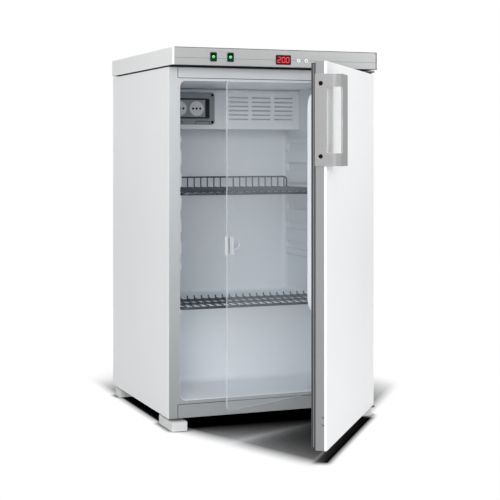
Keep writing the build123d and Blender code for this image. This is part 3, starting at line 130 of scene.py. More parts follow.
class IncubatorColours(bpy.types.PropertyGroup):
    white_coat: tone("White coat", "Powder coat of the cabinet and the door", (0.86, 0.87, 0.88))
    lid_board: tone("Lid board", "Laminate on the lid", (0.85, 0.86, 0.86))
    # Painted shade: the lid's underside is drawn near black for the shadow beneath it.
    lid_under: tone("Lid underside", "Bare underside of the lid", (0.03, 0.032, 0.034))
    frame_grey: tone("Front frame", "Front face of the cabinet round the opening", (0.54, 0.56, 0.57))
    # Painted shade: the front frame's coat is drawn towards this darker colour near the floor.
    frame_painted_shade: tone("Front frame, low", "The same face near the floor", (0.31, 0.325, 0.33))
    trim_grey: tone("Door profile", "Profiles at the door's edges", (0.26, 0.265, 0.27))
    zinc: tone("Zinc sheet", "Sheets at the back and under the lid", (0.45, 0.46, 0.47))
    liner: tone("Liner", "Moulded liner and shelf supports", (0.80, 0.84, 0.88))
    cover: tone("Rear cover", "Moulded cover at the back of the cavity", (0.88, 0.91, 0.93))
    fascia: tone("Fascia", "Metal strip that holds the controls", (0.385, 0.39, 0.388))
    fascia_line: tone("Fascia line", "Thin line along the fascia", (0.16, 0.22, 0.30))
    black: tone("Black plastic", "Switch and display housings", (0.006, 0.009, 0.020))
    grey_plastic: tone("Grey plastic", "Socket box", (0.30, 0.32, 0.34))
    socket: tone("Sockets", "Inside sockets", (0.78, 0.79, 0.80))
    socket_block: tone("Socket block", "Inserts round the sockets", (0.33, 0.35, 0.37))
    # This colour also draws the strip that paints the shadow in the gap over the fascia.
    rubber: tone("Dark rubber", "Seals and grommets", (0.02, 0.02, 0.022))
    gasket: tone("Door gasket", "Magnetic seal of the door", (0.045, 0.046, 0.048))
    gasket_groove: tone("Gasket groove", "Bottom of the groove in the seal", (0.30, 0.31, 0.32))
    lens_green: tone("Green lens", "Lit lens of the switches", (0.01, 0.62, 0.06))
    switch_key: tone("Switch key", "Dark face of the rockers", (0.004, 0.012, 0.006))
    digits_red: tone("Red digits", "Lit digits of the display", (0.95, 0.012, 0.008))
    display_glass: tone("Display window", "Dark window in front of the digits", (0.004, 0.005, 0.014))
    button: tone("Buttons", "Round push buttons", (0.80, 0.80, 0.79))
    mark: tone("Button marks", "Arrows on the buttons", (0.05, 0.05, 0.055))
    screw: tone("Screws", "Blackened screws", (0.004, 0.004, 0.004))
    wire: tone("Shelf wire", "Plated wire of the shelves", (0.11, 0.12, 0.135))
    steel: tone("Handle steel", "Bent steel plate of the handle", (0.29, 0.29, 0.29))
    # Painted highlight: the handle's rounded edges are drawn lighter than its plate.
    steel_edge_highlight: tone("Handle edges", "Ground edges of the handle", (0.62, 0.62, 0.62))
    hinge: tone("Hinge steel", "Hinge plates and pins", (0.10, 0.10, 0.105))
    bush: tone("Hinge bush", "Plastic bushes of the hinges", (0.03, 0.28, 0.30))
    foot: tone("Feet", "Plastic feet", (0.72, 0.73, 0.73))
    clear: tone("Clear panel", "Inner door", (0.80, 0.87, 0.92))
    # Painted highlight: the clear sheet's edges are drawn paler and less clear than its faces, for the light
    # caught in them.
    clear_edge_highlight: tone("Clear panel's edge", "Polished edges of the inner door", (0.66, 0.70, 0.72))
    clear_profile: tone("Clear profile", "Hinge profile and catch of the inner door", (0.80, 0.84, 0.87))
    fin: tone("Fins", "Aluminium fins of the evaporator", (0.62, 0.63, 0.64))
    heater: tone("Heater", "Steel tube of the heater", (0.35, 0.33, 0.31))
    board: tone("Circuit board", "Control board", (0.02, 0.12, 0.05))
    shell: tone("Compressor shell", "Painted shell of the compressor", (0.018, 0.018, 0.020))
    coil: tone("Condenser", "Painted wire and tube of the condenser", (0.02, 0.02, 0.022))
    copper: tone("Copper", "Tubes of the cooling circuit", (0.55, 0.24, 0.13))
    foam: tone("Foam", "Insulation", (0.72, 0.62, 0.36))
    floor: tone("Floor", "Ground and backdrop", (0.86, 0.86, 0.86))


class IncubatorSizes(bpy.types.PropertyGroup):
    sheet_edge: length("Sheet edge", "Rounding of folded steel edges", 0.6)
    moulded_edge: length("Moulded edge", "Rounding of the feet", 1.4)
    small_edge: length("Small edge", "Rounding of small parts", 0.3)
    seam: length("Seam", "Width of the joint lines on the front frame", 1.4)
    frame_wire: length("Frame wire radius", "Outer wire of the shelves", 3.2)
    cross_wire: length("Cross wire radius", "Wires laid over the frame", 1.6)
    rail_wire: length("Rail wire radius", "Guard rail of the upper shelf", 2.0)
    brace_wire: length("Brace wire radius", "Wire under the cross wires", 2.5)
    wire_pitch: length("Wire pitch", "Distance between cross wires", 17.9)
    wire_count: number("Cross wires", "Number of cross wires on a shelf", 23, 2)
    wire_sides: number("Wire sides", "Facets round a wire", 12, 6)
    digit_height: length("Digit height", "Height of the lit digits", 11.8)
    digit_width: length("Digit width", "Width of the lit digits", 6.8)
    digit_bar: length("Digit bar", "Thickness of a digit's bars", 1.45)


class IncubatorLight(bpy.types.PropertyGroup):
    key: power("Key light", "Power of the large front lamp", 62.0)
    fill: power("Fill light", "Power of the lamp on the right", 26.0)
    top: power("Top light", "Power of the lamp overhead", 14.0)
    rear: power("Rear light", "Power of the lamp behind", 12.0)
    sky: power("Ambient", "Strength of the even surround", 0.55)


def colours():
    return bpy.context.scene.incubator_colours


def sizes():
    return bpy.context.scene.incubator_sizes


# Materials

def new_material(name, colour, roughness, metallic=0.0, **sockets):
    """A material whose even values stand on the shader itself."""
    material = bpy.data.materials.new(name)
    material.use_nodes = True
    shader = material.node_tree.nodes["Principled BSDF"]
    shader.inputs["Base Color"].default_value = (*colour, 1.0)
    shader.inputs["Roughness"].default_value = roughness
    shader.inputs["Metallic"].default_value = metallic
    for label, value in sockets.items():
        shader.inputs[label.replace("_", " ")].default_value = value
    material.diffuse_color = (*colour, 1.0)
    return material


def shader_of(material):
    return material.node_tree.nodes["Principled BSDF"]


def add_node(material, kind, **sockets):
    node = material.node_tree.nodes.new(kind)
    for label, value in sockets.items():
        node.inputs[label.replace("_", " ")].default_value = value
    return node


def join(material, output, socket):
    material.node_tree.links.new(output, socket)


def noise(material, scale, detail=2.0, stretch=(1, 1, 1)):
    """Noise on the piece's object coordinates, stretched along an axis for brushed metal."""
    place = add_node(material, "ShaderNodeTexCoord")
    mapping = add_node(material, "ShaderNodeMapping", Scale=stretch)
    field = add_node(material, "ShaderNodeTexNoise", Scale=scale, Detail=detail)
    join(material, place.outputs["Object"], mapping.inputs["Vector"])
    join(material, mapping.outputs["Vector"], field.inputs["Vector"])
    return field.outputs["Fac"]


def vary_colour(material, field, darker, lighter):
    """Lets the colour drift between a darker and a lighter share of itself."""
    base = tuple(shader_of(material).inputs["Base Color"].default_value)[:3]
    mix = add_node(material, "ShaderNodeMix")
    mix.data_type = "RGBA"
    mix.inputs[6].default_value = (*[c * darker for c in base], 1)
    mix.inputs[7].default_value = (*[min(1, c * lighter) for c in base], 1)
    join(material, field, mix.inputs["Factor"])
    join(material, mix.outputs[2], shader_of(material).inputs["Base Color"])


def lay_over(material, share, colour):
    """Lays a second colour over the present one by a share."""
    shader = shader_of(material)
    mix = add_node(material, "ShaderNodeMix")
    mix.data_type = "RGBA"
    join(material, shader.inputs["Base Color"].links[0].from_socket, mix.inputs[6])
    mix.inputs[7].default_value = (*colour, 1)
    join(material, share, mix.inputs["Factor"])
    join(material, mix.outputs[2], shader.inputs["Base Color"])


def height_of(material):
    """Height of each point, from the piece's object coordinates."""
    place = add_node(material, "ShaderNodeTexCoord")
    split = add_node(material, "ShaderNodeSeparateXYZ")
    join(material, place.outputs["Object"], split.inputs["Vector"])
    return split.outputs["Z"]


def vary_roughness(material, field, low, high):
    spread = add_node(material, "ShaderNodeMapRange", From_Min=0.3, From_Max=0.7, To_Min=low, To_Max=high)
    join(material, field, spread.inputs["Value"])
    join(material, spread.outputs["Result"], shader_of(material).inputs["Roughness"])


def raise_surface(material, field, depth, strength):
    bump = add_node(material, "ShaderNodeBump", Strength=strength, Distance=depth)
    join(material, field, bump.inputs["Height"])
    join(material, bump.outputs["Normal"], shader_of(material).inputs["Normal"])


def coated(name, colour, roughness, peel=0.00002, grain=1400.0, drift=0.02):
    """Paint or laminate: a slow drift in tone and a fine peel."""
    material = new_material(name, colour, roughness, Coat_Weight=0.08, Coat_Roughness=0.25)
    vary_colour(material, noise(material, 5.0), 1 - drift, 1 + drift)
    vary_roughness(material, noise(material, 60.0), roughness - 0.05, roughness + 0.06)
    raise_surface(material, noise(material, grain), peel, 0.5)
    return material


def moulded(name, colour, roughness, grain=900.0, depth=0.00003, drift=0.02, gloss=0.45):
    """Moulded plastic with a fine eroded grain."""
    material = new_material(name, colour, roughness, Specular_IOR_Level=gloss)
    vary_colour(material, noise(material, 9.0), 1 - drift, 1 + drift)
    vary_roughness(material, noise(material, 130.0, detail=4), roughness - 0.06, roughness + 0.06)
    raise_surface(material, noise(material, grain, detail=4), depth, 0.6)
    return material


def brushed(name, colour, roughness, stretch, metallic):
    """Metal with fine lines along one direction."""
    material = new_material(name, colour, roughness, metallic)
    lines = noise(material, 1.0, detail=3, stretch=stretch)
    vary_colour(material, lines, 0.88, 1.12)
    vary_roughness(material, lines, roughness - 0.08, roughness + 0.1)
    raise_surface(material, lines, 0.00001, 0.4)
    return material


def plated(name, colour, roughness, drift=0.08):
    """Bright plated or zinc-coated metal."""
    material = new_material(name, colour, roughness, 1.0)
    vary_colour(material, noise(material, 40.0, detail=4), 1 - drift, 1 + drift)
    vary_roughness(material, noise(material, 160.0), roughness - 0.06, roughness + 0.1)
    return material


def glowing(name, colour, roughness, strength):
    """A lit lens or digit with a faint unevenness."""
    material = new_material(name, colour, roughness, Emission_Color=(*colour, 1), Emission_Strength=strength)
    vary_colour(material, noise(material, 400.0), 0.9, 1.1)
    return material


def clear(name, colour, roughness, alpha):
    """Clear sheet, drawn as a pale veil with gloss."""
    material = new_material(name, colour, roughness, Alpha=alpha, Specular_IOR_Level=0.6)
    vary_roughness(material, noise(material, 30.0), roughness, roughness + 0.04)
    return material


def lined_strip(name, colour, roughness, stretch, metallic, line_height, half_width):
    """Brushed strip with a thin darker line along its middle."""
    material = brushed(name, colour, roughness, stretch, metallic)
    near_line = add_node(material, "ShaderNodeMath")
    near_line.operation = "COMPARE"
    near_line.inputs[1].default_value = line_height
    near_line.inputs[2].default_value = half_width
    join(material, height_of(material), near_line.inputs[0])
    lay_over(material, near_line.outputs["Value"], colours().fascia_line)
    return material


def front_coat_painted_shade(name, colour, roughness, low, high):
    """Grey coat of the front frame, with painted shade that makes it darker towards the floor."""
    material = coated(name, colour, roughness)
    # Painted shade: the coat blends towards the low colour nearer the floor.
    painted_shade_share = add_node(material, "ShaderNodeMapRange", From_Min=low, From_Max=high, To_Min=1, To_Max=0)
    join(material, height_of(material), painted_shade_share.inputs["Value"])
    lay_over(material, painted_shade_share.outputs["Result"], colours().frame_painted_shade)
    return material


# Each finish: how it is made, the material's name, its colour property, its roughness and other values.
FINISHES = {
    "white_coat": (coated, "white_powder_coat", "white_coat", 0.42, {}),
    "lid_board": (coated, "lid_laminate", "lid_board", 0.5, {"peel": 0.00003, "grain": 2200.0}),
    "lid_under": (moulded, "lid_underside", "lid_under", 0.8, {"gloss": 0.1}),
    "frame_grey": (front_coat_painted_shade, "front_frame_grey", "frame_grey", 0.45, {"low": 0.03, "high": 0.62}),
    "trim_grey": (brushed, "door_profile_satin", "trim_grey", 0.5, {
        "stretch": (900, 900, 6), "metallic": 0.35,
    }),
    "zinc": (plated, "zinc_sheet", "zinc", 0.45, {}),
    "liner": (moulded, "liner_plastic", "liner", 0.42, {}),
    "cover": (moulded, "rear_cover_plastic", "cover", 0.38, {}),
    "foam": (moulded, "foam_cut", "foam", 0.9, {"grain": 500.0, "depth": 0.0003, "drift": 0.08}),
    "fascia": (lined_strip, "fascia_silver", "fascia", 0.42, {
        "stretch": (3, 400, 1600), "metallic": 0.55, "line_height": 0.8312, "half_width": 0.0005,
    }),
    "black": (moulded, "black_plastic", "black", 0.4, {"grain": 1600.0, "gloss": 0.2}),
    "grey_plastic": (moulded, "grey_plastic", "grey_plastic", 0.45, {}),
    "socket": (moulded, "socket_plastic", "socket", 0.4, {}),
    "socket_block": (moulded, "socket_block", "socket_block", 0.4, {}),
    "rubber": (moulded, "dark_rubber", "rubber", 0.65, {"grain": 1200.0}),
    "gasket": (moulded, "gasket_rubber", "gasket", 0.6, {"grain": 1200.0}),
    "gasket_groove": (moulded, "gasket_groove", "gasket_groove", 0.6, {}),
    "lens": (glowing, "switch_lens", "lens_green", 0.25, {"strength": 1.2}),
    "switch_key": (moulded, "switch_key", "switch_key", 0.4, {"gloss": 0.2}),
    "digits": (glowing, "red_digits", "digits_red", 0.25, {"strength": 1.0}),
    "display_glass": (moulded, "display_window", "display_glass", 0.3, {"depth": 0.000002, "gloss": 0.15}),
    "button": (moulded, "white_button", "button", 0.4, {}),
    "mark": (moulded, "button_mark", "mark", 0.5, {}),
    "screw": (moulded, "dark_screw", "screw", 0.6, {"gloss": 0.1}),
    "wire": (plated, "plated_wire", "wire", 0.3, {}),
    "fin": (plated, "aluminium_fins", "fin", 0.4, {}),
    "heater": (plated, "heater_steel", "heater", 0.4, {"drift": 0.2}),
    "clear": (clear, "clear_sheet", "clear", 0.04, {"alpha": 0.07}),
    "clear_edge_highlight": (clear, "clear_sheet_edge", "clear_edge_highlight", 0.2, {"alpha": 0.45}),
    "clear_profile": (clear, "clear_profile", "clear_profile", 0.2, {"alpha": 0.55}),
    "steel": (brushed, "handle_brushed_steel", "steel", 0.52, {"stretch": (1800, 1800, 8), "metallic": 0.55}),
    "steel_edge_highlight": (plated, "handle_cut_edge", "steel_edge_highlight", 0.3, {}),
    "board": (moulded, "circuit_board", "board", 0.45, {}),
    "hinge": (plated, "hinge_steel", "hinge", 0.45, {}),
    "bush": (moulded, "hinge_bush", "bush", 0.4, {}),
    "foot": (moulded, "foot_plastic", "foot", 0.5, {}),
    "shell": (coated, "compressor_paint", "shell", 0.3, {"peel": 0.00006, "grain": 500.0, "drift": 0.15}),
    "coil": (coated, "condenser_paint", "coil", 0.4, {"drift": 0.1}),
    "copper": (plated, "copper_tube", "copper", 0.35, {"drift": 0.2}),
}
MADE = {}


def finish(name):
    """The named finish, made the first time it is asked for."""
    if name not in MADE:
        make, label, colour, roughness, others = FINISHES[name]
        MADE[name] = make(label, getattr(colours(), colour), roughness, **others)
    return MADE[name]


# Mesh helpers

def settle(mesh, bend=32.0):
    """Smooth shading with sharp edges kept."""
    mesh.shade_smooth()
    mesh.set_sharp_from_angle(angle=math.radians(bend))


def add_piece(name, mesh, body, nodes=(), bend=32.0):
    """Makes a piece of the incubator that rides on a body and may stand for CAD nodes."""
    piece = bpy.data.objects.new(name, mesh)
    bpy.context.scene.collection.objects.link(piece)
    settle(mesh, bend)
    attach(piece, body)
    if nodes:
        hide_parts(*nodes)
    return piece


def mesh_from(name, bm, look):
    """A mesh with one finish from a bmesh, its faces turned outwards."""
    mesh = bpy.data.meshes.new(name)
    bmesh.ops.recalc_face_normals(bm, faces=bm.faces)
    bm.to_mesh(mesh)
    bm.free()
    mesh.materials.append(finish(look))
    return mesh


def merged_copy(node):
    """A bmesh of a CAD node with its loose triangles joined into clean faces."""
    bm = bmesh.new()
    bm.from_mesh(frame["nodes"][node].data)
    bmesh.ops.remove_doubles(bm, verts=bm.verts, dist=0.002 * MM)
    bmesh.ops.dissolve_limit(bm, angle_limit=math.radians(0.4), verts=bm.verts, edges=bm.edges)
    for face in bm.faces:
        face.material_index = 0
    return bm


def round_edges(piece, width, segments):
    """Rounds the edges where a piece turns by more than a slight bend."""
    bevel = piece.modifiers.new("Rounded edges", "BEVEL")
    bevel.width = width
    bevel.segments = segments
    bevel.limit_method = "ANGLE"
    bevel.angle_limit = math.radians(35.0)
    bevel.harden_normals = True
    bevel.use_clamp_overlap = True


def dress(node, name, look, width=None, segments=2, second=None, pick=None):
    """Replaces a CAD node by a copy of it with clean faces, rounded edges and a finish.

    The faces that pick chooses get the second finish.
    """
    bm = merged_copy(node)
    mesh = bpy.data.meshes.new(name)
    if pick:
        for face in bm.faces:
            if pick(face):
                face.material_index = 1
    bm.to_mesh(mesh)
    bm.free()
    mesh.materials.append(finish(look))
    if second:
        mesh.materials.append(finish(second))
    body = frame["nodes"][node]["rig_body"]
    piece = add_piece(name, mesh, body, (node,))
    if width:
        round_edges(piece, width, segments)
    return piece


def colour_node(node, look):
    """Gives a CAD node that stays as it is its finish."""
    mesh = frame["nodes"][node].data
    mesh.materials.clear()
    mesh.materials.append(finish(look))


def in_mm(*points):
    """Outline points given in millimetres."""
    return [(a * MM, b * MM) for a, b in points]


def add_box(bm, low, high):
    """A box between two opposite corners."""
    low, high = Vector(low), Vector(high)
    matrix = Matrix.Translation((low + high) / 2) @ Matrix.Diagonal((*(high - low), 1))
    bmesh.ops.create_cube(bm, size=1.0, matrix=matrix)


def add_ring(bm, centre, direction, profile, segments=48, close=True):
    """A turned shape: profile points are (radius, height) along a direction from the centre."""
    direction = Vector(direction).normalized()
    turn = Vector((0, 0, 1)).rotation_difference(direction).to_matrix().to_4x4()
    place = Matrix.Translation(Vector(centre)) @ turn
    rings = []
    for radius, height in profile:
        if radius < 1e-7:
            rings.append([bm.verts.new(place @ Vector((0, 0, height)))])
            continue
        ring = []
        for k in range(segments):
            a = 2 * math.pi * k / segments
            ring.append(bm.verts.new(place @ Vector((radius * math.cos(a), radius * math.sin(a), height))))
        rings.append(ring)
    pairs = list(zip(rings, rings[1:]))
    if close and len(rings[0]) > 1 and len(rings[-1]) > 1:
        pairs.append((rings[-1], rings[0]))
    for lower, upper in pairs:
        for k in range(segments):
            a, b = lower[k % len(lower)], lower[(k + 1) % len(lower)]
            c, d = upper[(k + 1) % len(upper)], upper[k % len(upper)]
            corners = []
            for vert in (a, b, c, d):
                if vert not in corners:
                    corners.append(vert)
            if len(corners) > 2:
                bm.faces.new(corners)


def extrude_outline(bm, outline, depth):
    """A prism over a flat outline of 3-D points, pushed along a vector."""
    depth = Vector(depth)
    low = [bm.verts.new(Vector(p)) for p in outline]
    high = [bm.verts.new(Vector(p) + depth) for p in outline]
    bm.faces.new(low[::-1])
    bm.faces.new(high)
    count = len(outline)
    for k in range(count):
        bm.faces.new((low[k], low[(k + 1) % count], high[(k + 1) % count], high[k]))


def swing_mesh(bm, axis, angle):
    """Turns a shape that was made for the closed door to the rest pose."""
    bmesh.ops.rotate(bm, verts=bm.verts, cent=axis, matrix=Matrix.Rotation(angle, 3, "Z"))


# Geometry nodes

def new_tree(name, inputs):
    """A node tree with named inputs and a geometry output."""
    tree = bpy.data.node_groups.new(name, "GeometryNodeTree")
    face = tree.interface
    face.new_socket("Geometry", in_out="INPUT", socket_type="NodeSocketGeometry")
    for label, kind in inputs:
        face.new_socket(label, in_out="INPUT", socket_type=kind)
    face.new_socket("Geometry", in_out="OUTPUT", socket_type="NodeSocketGeometry")
    return tree, tree.nodes.new("NodeGroupInput"), tree.nodes.new("NodeGroupOutput")


def link(tree, output, socket):
    tree.links.new(output, socket)


def row_end(tree, source, target, shape):
    """Repeats a shape along a row, realizes it and sets its finish."""
    line = tree.nodes.new("GeometryNodeMeshLine")
    line.mode = "OFFSET"
    link(tree, source.outputs["Count"], line.inputs["Count"])
    link(tree, source.outputs["Step"], line.inputs["Offset"])
    copies = tree.nodes.new("GeometryNodeInstanceOnPoints")
    link(tree, line.outputs["Mesh"], copies.inputs["Points"])
    link(tree, shape, copies.inputs["Instance"])
    real = tree.nodes.new("GeometryNodeRealizeInstances")
    link(tree, copies.outputs["Instances"], real.inputs["Geometry"])
    paint = tree.nodes.new("GeometryNodeSetMaterial")
    link(tree, real.outputs["Geometry"], paint.inputs["Geometry"])
    link(tree, source.outputs["Finish"], paint.inputs["Material"])
    link(tree, paint.outputs["Geometry"], target.inputs["Geometry"])


def wire_tree():
    """Bends round wire along the object's own route and lays it in a row."""
    tree, source, target = new_tree("Bent wire row", (
        ("Radius", "NodeSocketFloat"), ("Bend", "NodeSocketFloat"), ("Sides", "NodeSocketInt"),
        ("Count", "NodeSocketInt"), ("Step", "NodeSocketVector"), ("Finish", "NodeSocketMaterial"),
    ))
    route = tree.nodes.new("GeometryNodeMeshToCurve")
    link(tree, source.outputs["Geometry"], route.inputs["Mesh"])
    bend = tree.nodes.new("GeometryNodeFilletCurve")
    bend.mode = "POLY"
    bend.inputs["Count"].default_value = 6
    bend.inputs["Limit Radius"].default_value = True
    link(tree, route.outputs["Curve"], bend.inputs["Curve"])
    link(tree, source.outputs["Bend"], bend.inputs["Radius"])
    section = tree.nodes.new("GeometryNodeCurvePrimitiveCircle")
    link(tree, source.outputs["Sides"], section.inputs["Resolution"])
    link(tree, source.outputs["Radius"], section.inputs["Radius"])
    tube = tree.nodes.new("GeometryNodeCurveToMesh")
    tube.inputs["Fill Caps"].default_value = True
    link(tree, bend.outputs["Curve"], tube.inputs["Curve"])
    link(tree, section.outputs["Curve"], tube.inputs["Profile Curve"])
    row_end(tree, source, target, tube.outputs["Mesh"])
    return tree


def repeat_tree():
    """Repeats the object's own mesh along a row."""
    tree, source, target = new_tree("Row of pieces", (
        ("Count", "NodeSocketInt"), ("Step", "NodeSocketVector"), ("Finish", "NodeSocketMaterial"),
    ))
    row_end(tree, source, target, source.outputs["Geometry"])
    return tree


def tree_named(label, make):
    """The tree of that name, made the first time it is asked for."""
    if label not in bpy.data.node_groups:
        make()
    return bpy.data.node_groups[label]


def run_tree(mesh, tree, values):
    """Runs a tree on a mesh and returns the plain mesh that it gives."""
    holder = bpy.data.objects.new("route", mesh)
    bpy.context.scene.collection.objects.link(holder)
    modifier = holder.modifiers.new("Build", "NODES")
    modifier.node_group = tree
    for item in tree.interface.items_tree:
        if item.item_type == "SOCKET" and item.in_out == "INPUT" and item.name in values:
            modifier[item.identifier] = values[item.name]
    bpy.context.view_layer.update()
    depsgraph = bpy.context.evaluated_depsgraph_get()
    result = bpy.data.meshes.new_from_object(holder.evaluated_get(depsgraph))
    holder.modifiers.remove(modifier)
    bpy.data.objects.remove(holder)
    if not result.polygons:
        raise RuntimeError("a tree gave no faces: " + tree.name)
    return result


def bent_wire(points, radius, look, bend=0.0, closed=False, count=1, step=(0, 0, 0), sides=None):
    """Mesh of one wire along a route, or of a row of them."""
    route = bpy.data.meshes.new("route")
    edges = [(i, i + 1) for i in range(len(points) - 1)]
    if closed:
        edges.append((len(points) - 1, 0))
    route.from_pydata([Vector(p) for p in points], edges, [])
    return run_tree(route, tree_named("Bent wire row", wire_tree), {
        "Radius": radius, "Bend": bend, "Sides": sides or sizes().wire_sides,
        "Count": count, "Step": Vector(step), "Finish": finish(look),
    })


def repeated(bm, look, count, step):
    """Mesh of a shape repeated along a row."""
    mesh = bpy.data.meshes.new("row")
    bmesh.ops.recalc_face_normals(bm, faces=bm.faces)
    bm.to_mesh(mesh)
    bm.free()
    return run_tree(mesh, tree_named("Row of pieces", repeat_tree), {
        "Count": count, "Step": Vector(step), "Finish": finish(look),
    })


def combined(name, meshes):
    """One mesh from several, each face with the finish it had."""
    bm = bmesh.new()
    looks = []
    for mesh in meshes:
        first = len(bm.faces)
        bm.from_mesh(mesh)
        bm.faces.ensure_lookup_table()
        own = list(mesh.materials)
        for face in bm.faces[first:]:
            material = own[face.material_index]
            if material not in looks:
                looks.append(material)
            face.material_index = looks.index(material)
        bpy.data.meshes.remove(mesh)
    result = bpy.data.meshes.new(name)
    bm.to_mesh(result)
    bm.free()
    for material in looks:
        result.materials.append(material)
    return result


# Operators

class IncubatorStep:
    bl_options = {"REGISTER", "UNDO"}


class NodeKit:
    """Joins shader nodes in a tree, from sockets and plain values."""

    def __init__(self, tree):
        self.tree = tree
        tree.nodes.clear()

    def add(self, kind, *values):
        """A node that takes a socket or a plain value on each input in turn."""
        return self.fill(self.tree.nodes.new(kind), values)

    def fill(self, node, values):
        for slot, value in enumerate(values):
            if isinstance(value, bpy.types.NodeSocket):
                self.tree.links.new(value, node.inputs[slot])
            elif value is not None:
                node.inputs[slot].default_value = value
        return node

    def calculate(self, operation, *values):
        node = self.tree.nodes.new("ShaderNodeMath")
        node.operation = operation
        return self.fill(node, values).outputs["Value"]

    def vector(self, operation, output, *values):
        node = self.tree.nodes.new("ShaderNodeVectorMath")
        node.operation = operation
        return self.fill(node, values).outputs[output]

    def blend(self, share, first, second):
        return self.add("ShaderNodeMixShader", share, first, second).outputs["Shader"]

    def beyond(self, place, origin, direction, soft):
        """Rises from 0 to 1 over a soft band on one side of a line on the ground."""
        offset = self.vector("SUBTRACT", "Vector", place, origin)
        share = self.vector("DOT_PRODUCT", "Value", offset, direction)
        return self.add("ShaderNodeMapRange", share, 0.0, soft).outputs["Result"]

    def within(self, place, lines):
        """The share that lies on the right side of every line."""
        share = 1.0
        for line in lines:
            share = self.calculate("MULTIPLY", share, self.beyond(place, *line))
        return share

    def openness(self, distance, sharpness):
        """How open the ground is to the sky within a distance."""
        near = self.tree.nodes.new("ShaderNodeAmbientOcclusion")
        near.inputs["Distance"].default_value = distance
        return self.calculate("POWER", near.outputs["AO"], sharpness)


class INCUBATOR_OT_stage(IncubatorStep, bpy.types.Operator):
    """Plain pale floor, soft studio light and the camera at the photograph's angle"""
    bl_idname = "incubator.stage"
    bl_label = "Stage"

    def execute(self, context):
        scene = context.scene
        scene.view_settings.view_transform = "Standard"
        self.add_camera(scene)
        self.make_floor()
        self.make_world(scene, scene.incubator_light.sky)
        for name, place, aim, size in LAMPS:
            self.add_lamp(name, place, aim, size, getattr(scene.incubator_light, name.lower()))
        return {"FINISHED"}

    def add_camera(self, scene):
        camera = bpy.data.objects.new("Camera", bpy.data.cameras.new("Camera"))
        scene.collection.objects.link(camera)
        camera.location = CAMERA_PLACE
        camera.rotation_euler = (math.radians(90), 0, math.radians(CAMERA_TURN))
        camera.data.lens = CAMERA_LENS
        camera.data.sensor_width = CAMERA_SENSOR
        camera.data.shift_y = CAMERA_SHIFT
        camera.data.clip_end = 50
        scene.camera = camera

    def add_lamp(self, name, place, aim, size, energy):
        data = bpy.data.lights.new(name, "AREA")
        data.shape = "DISK"
        data.size = size
        data.energy = energy
        lamp = bpy.data.objects.new(name, data)
        lamp.location = place
        lamp.rotation_euler = (Vector(aim) - Vector(place)).to_track_quat("-Z", "Y").to_euler()
        bpy.context.scene.collection.objects.link(lamp)

    def make_floor(self):
        bm = bmesh.new()
        bmesh.ops.create_circle(bm, cap_ends=True, segments=96, radius=14.0)
        mesh = bpy.data.meshes.new("floor")
        bm.to_mesh(mesh)
        bm.free()
        floor = bpy.data.objects.new("floor", mesh)
        bpy.context.scene.collection.objects.link(floor)
        mesh.materials.append(self.floor_look())

    def floor_look(self):
        """White ground that keeps the shadow and fades into the white surround.

        Outside the shaded ground it is plain white, with painted shade where something nearly touches it and
        a painted shadow in a strip under the door as it stands at rest.
        """
        contact_reach, contact_power = 0.017, 3.0
        shade_reach, shade_power, lift = 0.34, 3.4, 1.35
        fade_start, fade_end = 0.9, 2.2
        material = bpy.data.materials.new("studio_floor")
        material.use_nodes = True
        kit = NodeKit(material.node_tree)
        place = kit.add("ShaderNodeTexCoord").outputs["Object"]
        # Painted shade where something nearly touches the ground, and a painted shadow under the door as it
        # stands at rest.
        outside_door_shadow = kit.calculate("SUBTRACT", 1.0, self.door_shadow_strip(kit, place))
        contact_shade = kit.calculate("MULTIPLY", kit.openness(contact_reach, contact_power), outside_door_shadow)
        # Painted shade: the lit ground is darkened where things stand near it.
        shade = kit.calculate("MULTIPLY", kit.openness(shade_reach, shade_power), lift)
        bright = kit.add("ShaderNodeEmission", None, contact_shade).outputs["Emission"]
        lit = kit.add("ShaderNodeBsdfDiffuse", shade).outputs["BSDF"]
        ground = kit.blend(self.shaded_ground(kit, place), bright, lit)
        white = kit.add("ShaderNodeEmission").outputs["Emission"]
        reach = kit.vector("LENGTH", "Value", place)
        far = kit.add("ShaderNodeMapRange", reach, fade_start, fade_end).outputs["Result"]
        plain = kit.add("ShaderNodeBsdfDiffuse", (*colours().floor, 1)).outputs["BSDF"]
        seen = kit.add("ShaderNodeLightPath").outputs["Is Camera Ray"]
        surface = kit.blend(seen, plain, kit.blend(far, ground, white))
        kit.add("ShaderNodeOutputMaterial", surface)
        return material

    def shaded_ground(self, kit, place):
        """Ground between the cabinet and its door as it stands at rest, and beneath the cabinet."""
        low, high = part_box("base_pan")
        edge = 0.010
        left_side = Vector((-0.262, 0, 0))
        foot = Vector((-0.200, -0.262, 0))
        along = (self.door_corner() - foot).normalized()
        inward = Vector((-along.y, along.x, 0))
        between = kit.within(place, (
            (left_side, (1, 0, 0), 0.027),
            (DOOR_AXIS, -DOOR_OUTWARD, 0.030),
            (foot - inward * 0.038, inward, 0.060),
        ))
        beneath = kit.within(place, (
            (low, (1, 0, 0), edge), (low, (0, 1, 0), edge),
            (high, (-1, 0, 0), edge), (high, (0, -1, 0), edge),
        ))
        return kit.calculate("MAXIMUM", between, beneath)

    def door_shadow_strip(self, kit, place):
        """Narrow strip of ground under the door as it stands at rest, where a shadow is painted."""
        corner = self.door_corner()
        to_hinge = (DOOR_AXIS - corner).normalized()
        return kit.within(place, (
            (DOOR_AXIS + DOOR_OUTWARD * 0.017, -DOOR_OUTWARD, 0.015),
            (DOOR_AXIS - DOOR_OUTWARD * 0.030, DOOR_OUTWARD, 0.010),
            (corner - to_hinge * 0.005, to_hinge, 0.030),
            (DOOR_AXIS + to_hinge * 0.020, -to_hinge, 0.030),
        ))

    def door_corner(self):
        """Free end of the door on the ground, as it stands at rest."""
        return DOOR_AXIS + Matrix.Rotation(DOOR_OPEN, 3, "Z") @ Vector((-DOOR_WIDTH, 0, 0))

